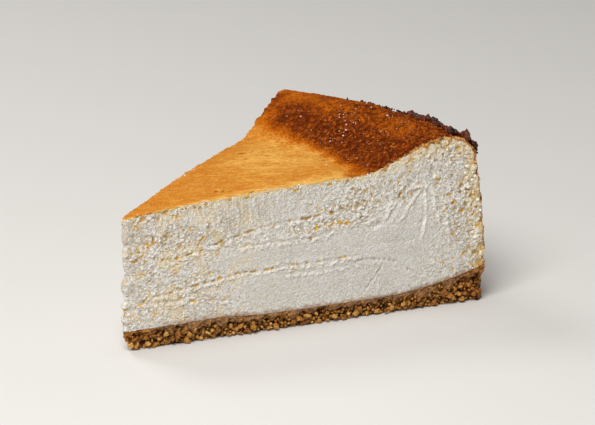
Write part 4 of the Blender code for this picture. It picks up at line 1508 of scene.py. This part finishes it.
class CHEESECAKE_OT_base(bpy.types.Operator):
    """Builds the firm part of the crumb base"""

    bl_idname = "cheesecake.base"
    bl_label = "Crumb base"

    def execute(self, context):
        piece = build_base(CakeShape(context.scene.slice_sizes))
        hand_over(piece, BASE, "biscuit_crumb", core_finish(context.scene.slice_colours))
        return {"FINISHED"}


class CHEESECAKE_OT_crumbs(bpy.types.Operator):
    """Packs loose crumbs along the foot of the base"""

    bl_idname = "cheesecake.crumbs"
    bl_label = "Loose crumbs"

    def execute(self, context):
        sizes = context.scene.slice_sizes
        material = crumb_finish(context.scene.slice_colours)
        for piece in build_crumbs(CakeShape(sizes), sizes.crumb_scale, material):
            hand_over(piece, BASE, "biscuit_crumb")
        return {"FINISHED"}


# The view of the photo: where the camera looks, from which side, how far and how long its lens is
VIEW_TARGET = Vector((6.8, -4.5, 28.7)) * MM
VIEW_AZIMUTH = math.radians(-45.5)
VIEW_ELEVATION = math.radians(17.2)
VIEW_ROLL = math.radians(0.74)
VIEW_DISTANCE = 1.0
VIEW_LENS = 207.4


def toward(azimuth, elevation):
    """Unit vector from the slice towards a point seen at this azimuth and elevation."""
    level = math.cos(elevation)
    return Vector((math.sin(azimuth) * level, -math.cos(azimuth) * level, math.sin(elevation)))


def aimed(place, target):
    """Rotation of a camera or light at a place that faces a target."""
    return (target - place).to_track_quat("-Z", "Y")


def soft_light(name, azimuth, elevation, distance, size, power, tint):
    light = bpy.data.lights.new(name, "AREA")
    light.shape = "RECTANGLE"
    light.size, light.size_y = size
    light.energy = power
    light.color = tint
    lamp = bpy.data.objects.new(name, light)
    lamp.location = VIEW_TARGET + toward(math.radians(azimuth), math.radians(elevation)) * distance
    lamp.rotation_mode = "QUATERNION"
    lamp.rotation_quaternion = aimed(lamp.location, VIEW_TARGET)
    bpy.context.scene.collection.objects.link(lamp)


class CHEESECAKE_OT_stage(bpy.types.Operator):
    """Sets up the pale floor, the soft lights and the camera of the photo's view"""

    bl_idname = "cheesecake.stage"
    bl_label = "Stage"

    def execute(self, context):
        scene = context.scene
        bpy.ops.mesh.primitive_plane_add(size=6, location=(0, 0, -0.0002))
        floor = context.object
        floor.name = "floor"
        floor.data.materials.append(floor_finish(scene.slice_colours))
        soft_light("key", -64, 51, 0.9, (0.45, 0.45), 7.6, (1.0, 0.985, 0.96))
        soft_light("back", -175, 45, 0.9, (0.35, 0.35), 2.2, (1.0, 0.98, 0.95))
        world = bpy.data.worlds.new("studio") if scene.world is None else scene.world
        world.use_nodes = True
        world.node_tree.nodes["Background"].inputs["Color"].default_value = (1.0, 0.98, 0.95, 1)
        world.node_tree.nodes["Background"].inputs["Strength"].default_value = 0.24
        scene.world = world
        scene.view_settings.view_transform = "Standard"
        camera = bpy.data.objects.new("photo_view", bpy.data.cameras.new("photo_view"))
        camera.data.sensor_width = 36
        camera.data.lens = VIEW_LENS
        camera.data.clip_start = 0.01
        camera.location = VIEW_TARGET + toward(VIEW_AZIMUTH, VIEW_ELEVATION) * VIEW_DISTANCE
        camera.rotation_mode = "QUATERNION"
        roll = Matrix.Rotation(VIEW_ROLL, 3, "Z").to_quaternion()
        camera.rotation_quaternion = aimed(camera.location, VIEW_TARGET) @ roll
        scene.collection.objects.link(camera)
        scene.camera = camera
        return {"FINISHED"}


class CHEESECAKE_PT_panel(bpy.types.Panel):
    """Lists the pieces of the slice"""

    bl_idname = "CHEESECAKE_PT_panel"
    bl_label = "Cheesecake slice"
    bl_space_type = "VIEW_3D"
    bl_region_type = "UI"
    bl_category = "Cheesecake"

    def draw(self, context):
        layout = self.layout
        for group in (context.scene.slice_sizes, context.scene.slice_colours):
            box = layout.box()
            for name in group.__annotations__:
                box.prop(group, name)
        for operator in OPERATORS:
            layout.operator(operator.bl_idname)


OPERATORS = (
    CHEESECAKE_OT_filling,
    CHEESECAKE_OT_skin,
    CHEESECAKE_OT_crags,
    CHEESECAKE_OT_beads,
    CHEESECAKE_OT_curds,
    CHEESECAKE_OT_base,
    CHEESECAKE_OT_crumbs,
    CHEESECAKE_OT_stage,
)
CLASSES = (SliceSizes, SliceColours, *OPERATORS, CHEESECAKE_PT_panel)


def register():
    for kind in CLASSES:
        bpy.utils.register_class(kind)
    bpy.types.Scene.slice_sizes = bpy.props.PointerProperty(type=SliceSizes)
    bpy.types.Scene.slice_colours = bpy.props.PointerProperty(type=SliceColours)


def unregister():
    del bpy.types.Scene.slice_colours
    del bpy.types.Scene.slice_sizes
    for kind in reversed(CLASSES):
        bpy.utils.unregister_class(kind)


def corners(box):
    return [[round(value, 5) for value in corner] for corner in box]


def main():
    register()
    bpy.ops.cheesecake.filling()
    bpy.ops.cheesecake.skin()
    bpy.ops.cheesecake.crags()
    bpy.ops.cheesecake.beads()
    bpy.ops.cheesecake.curds()
    bpy.ops.cheesecake.base()
    bpy.ops.cheesecake.crumbs()
    bpy.ops.cheesecake.stage()


if __name__ == "__main__":
    main()
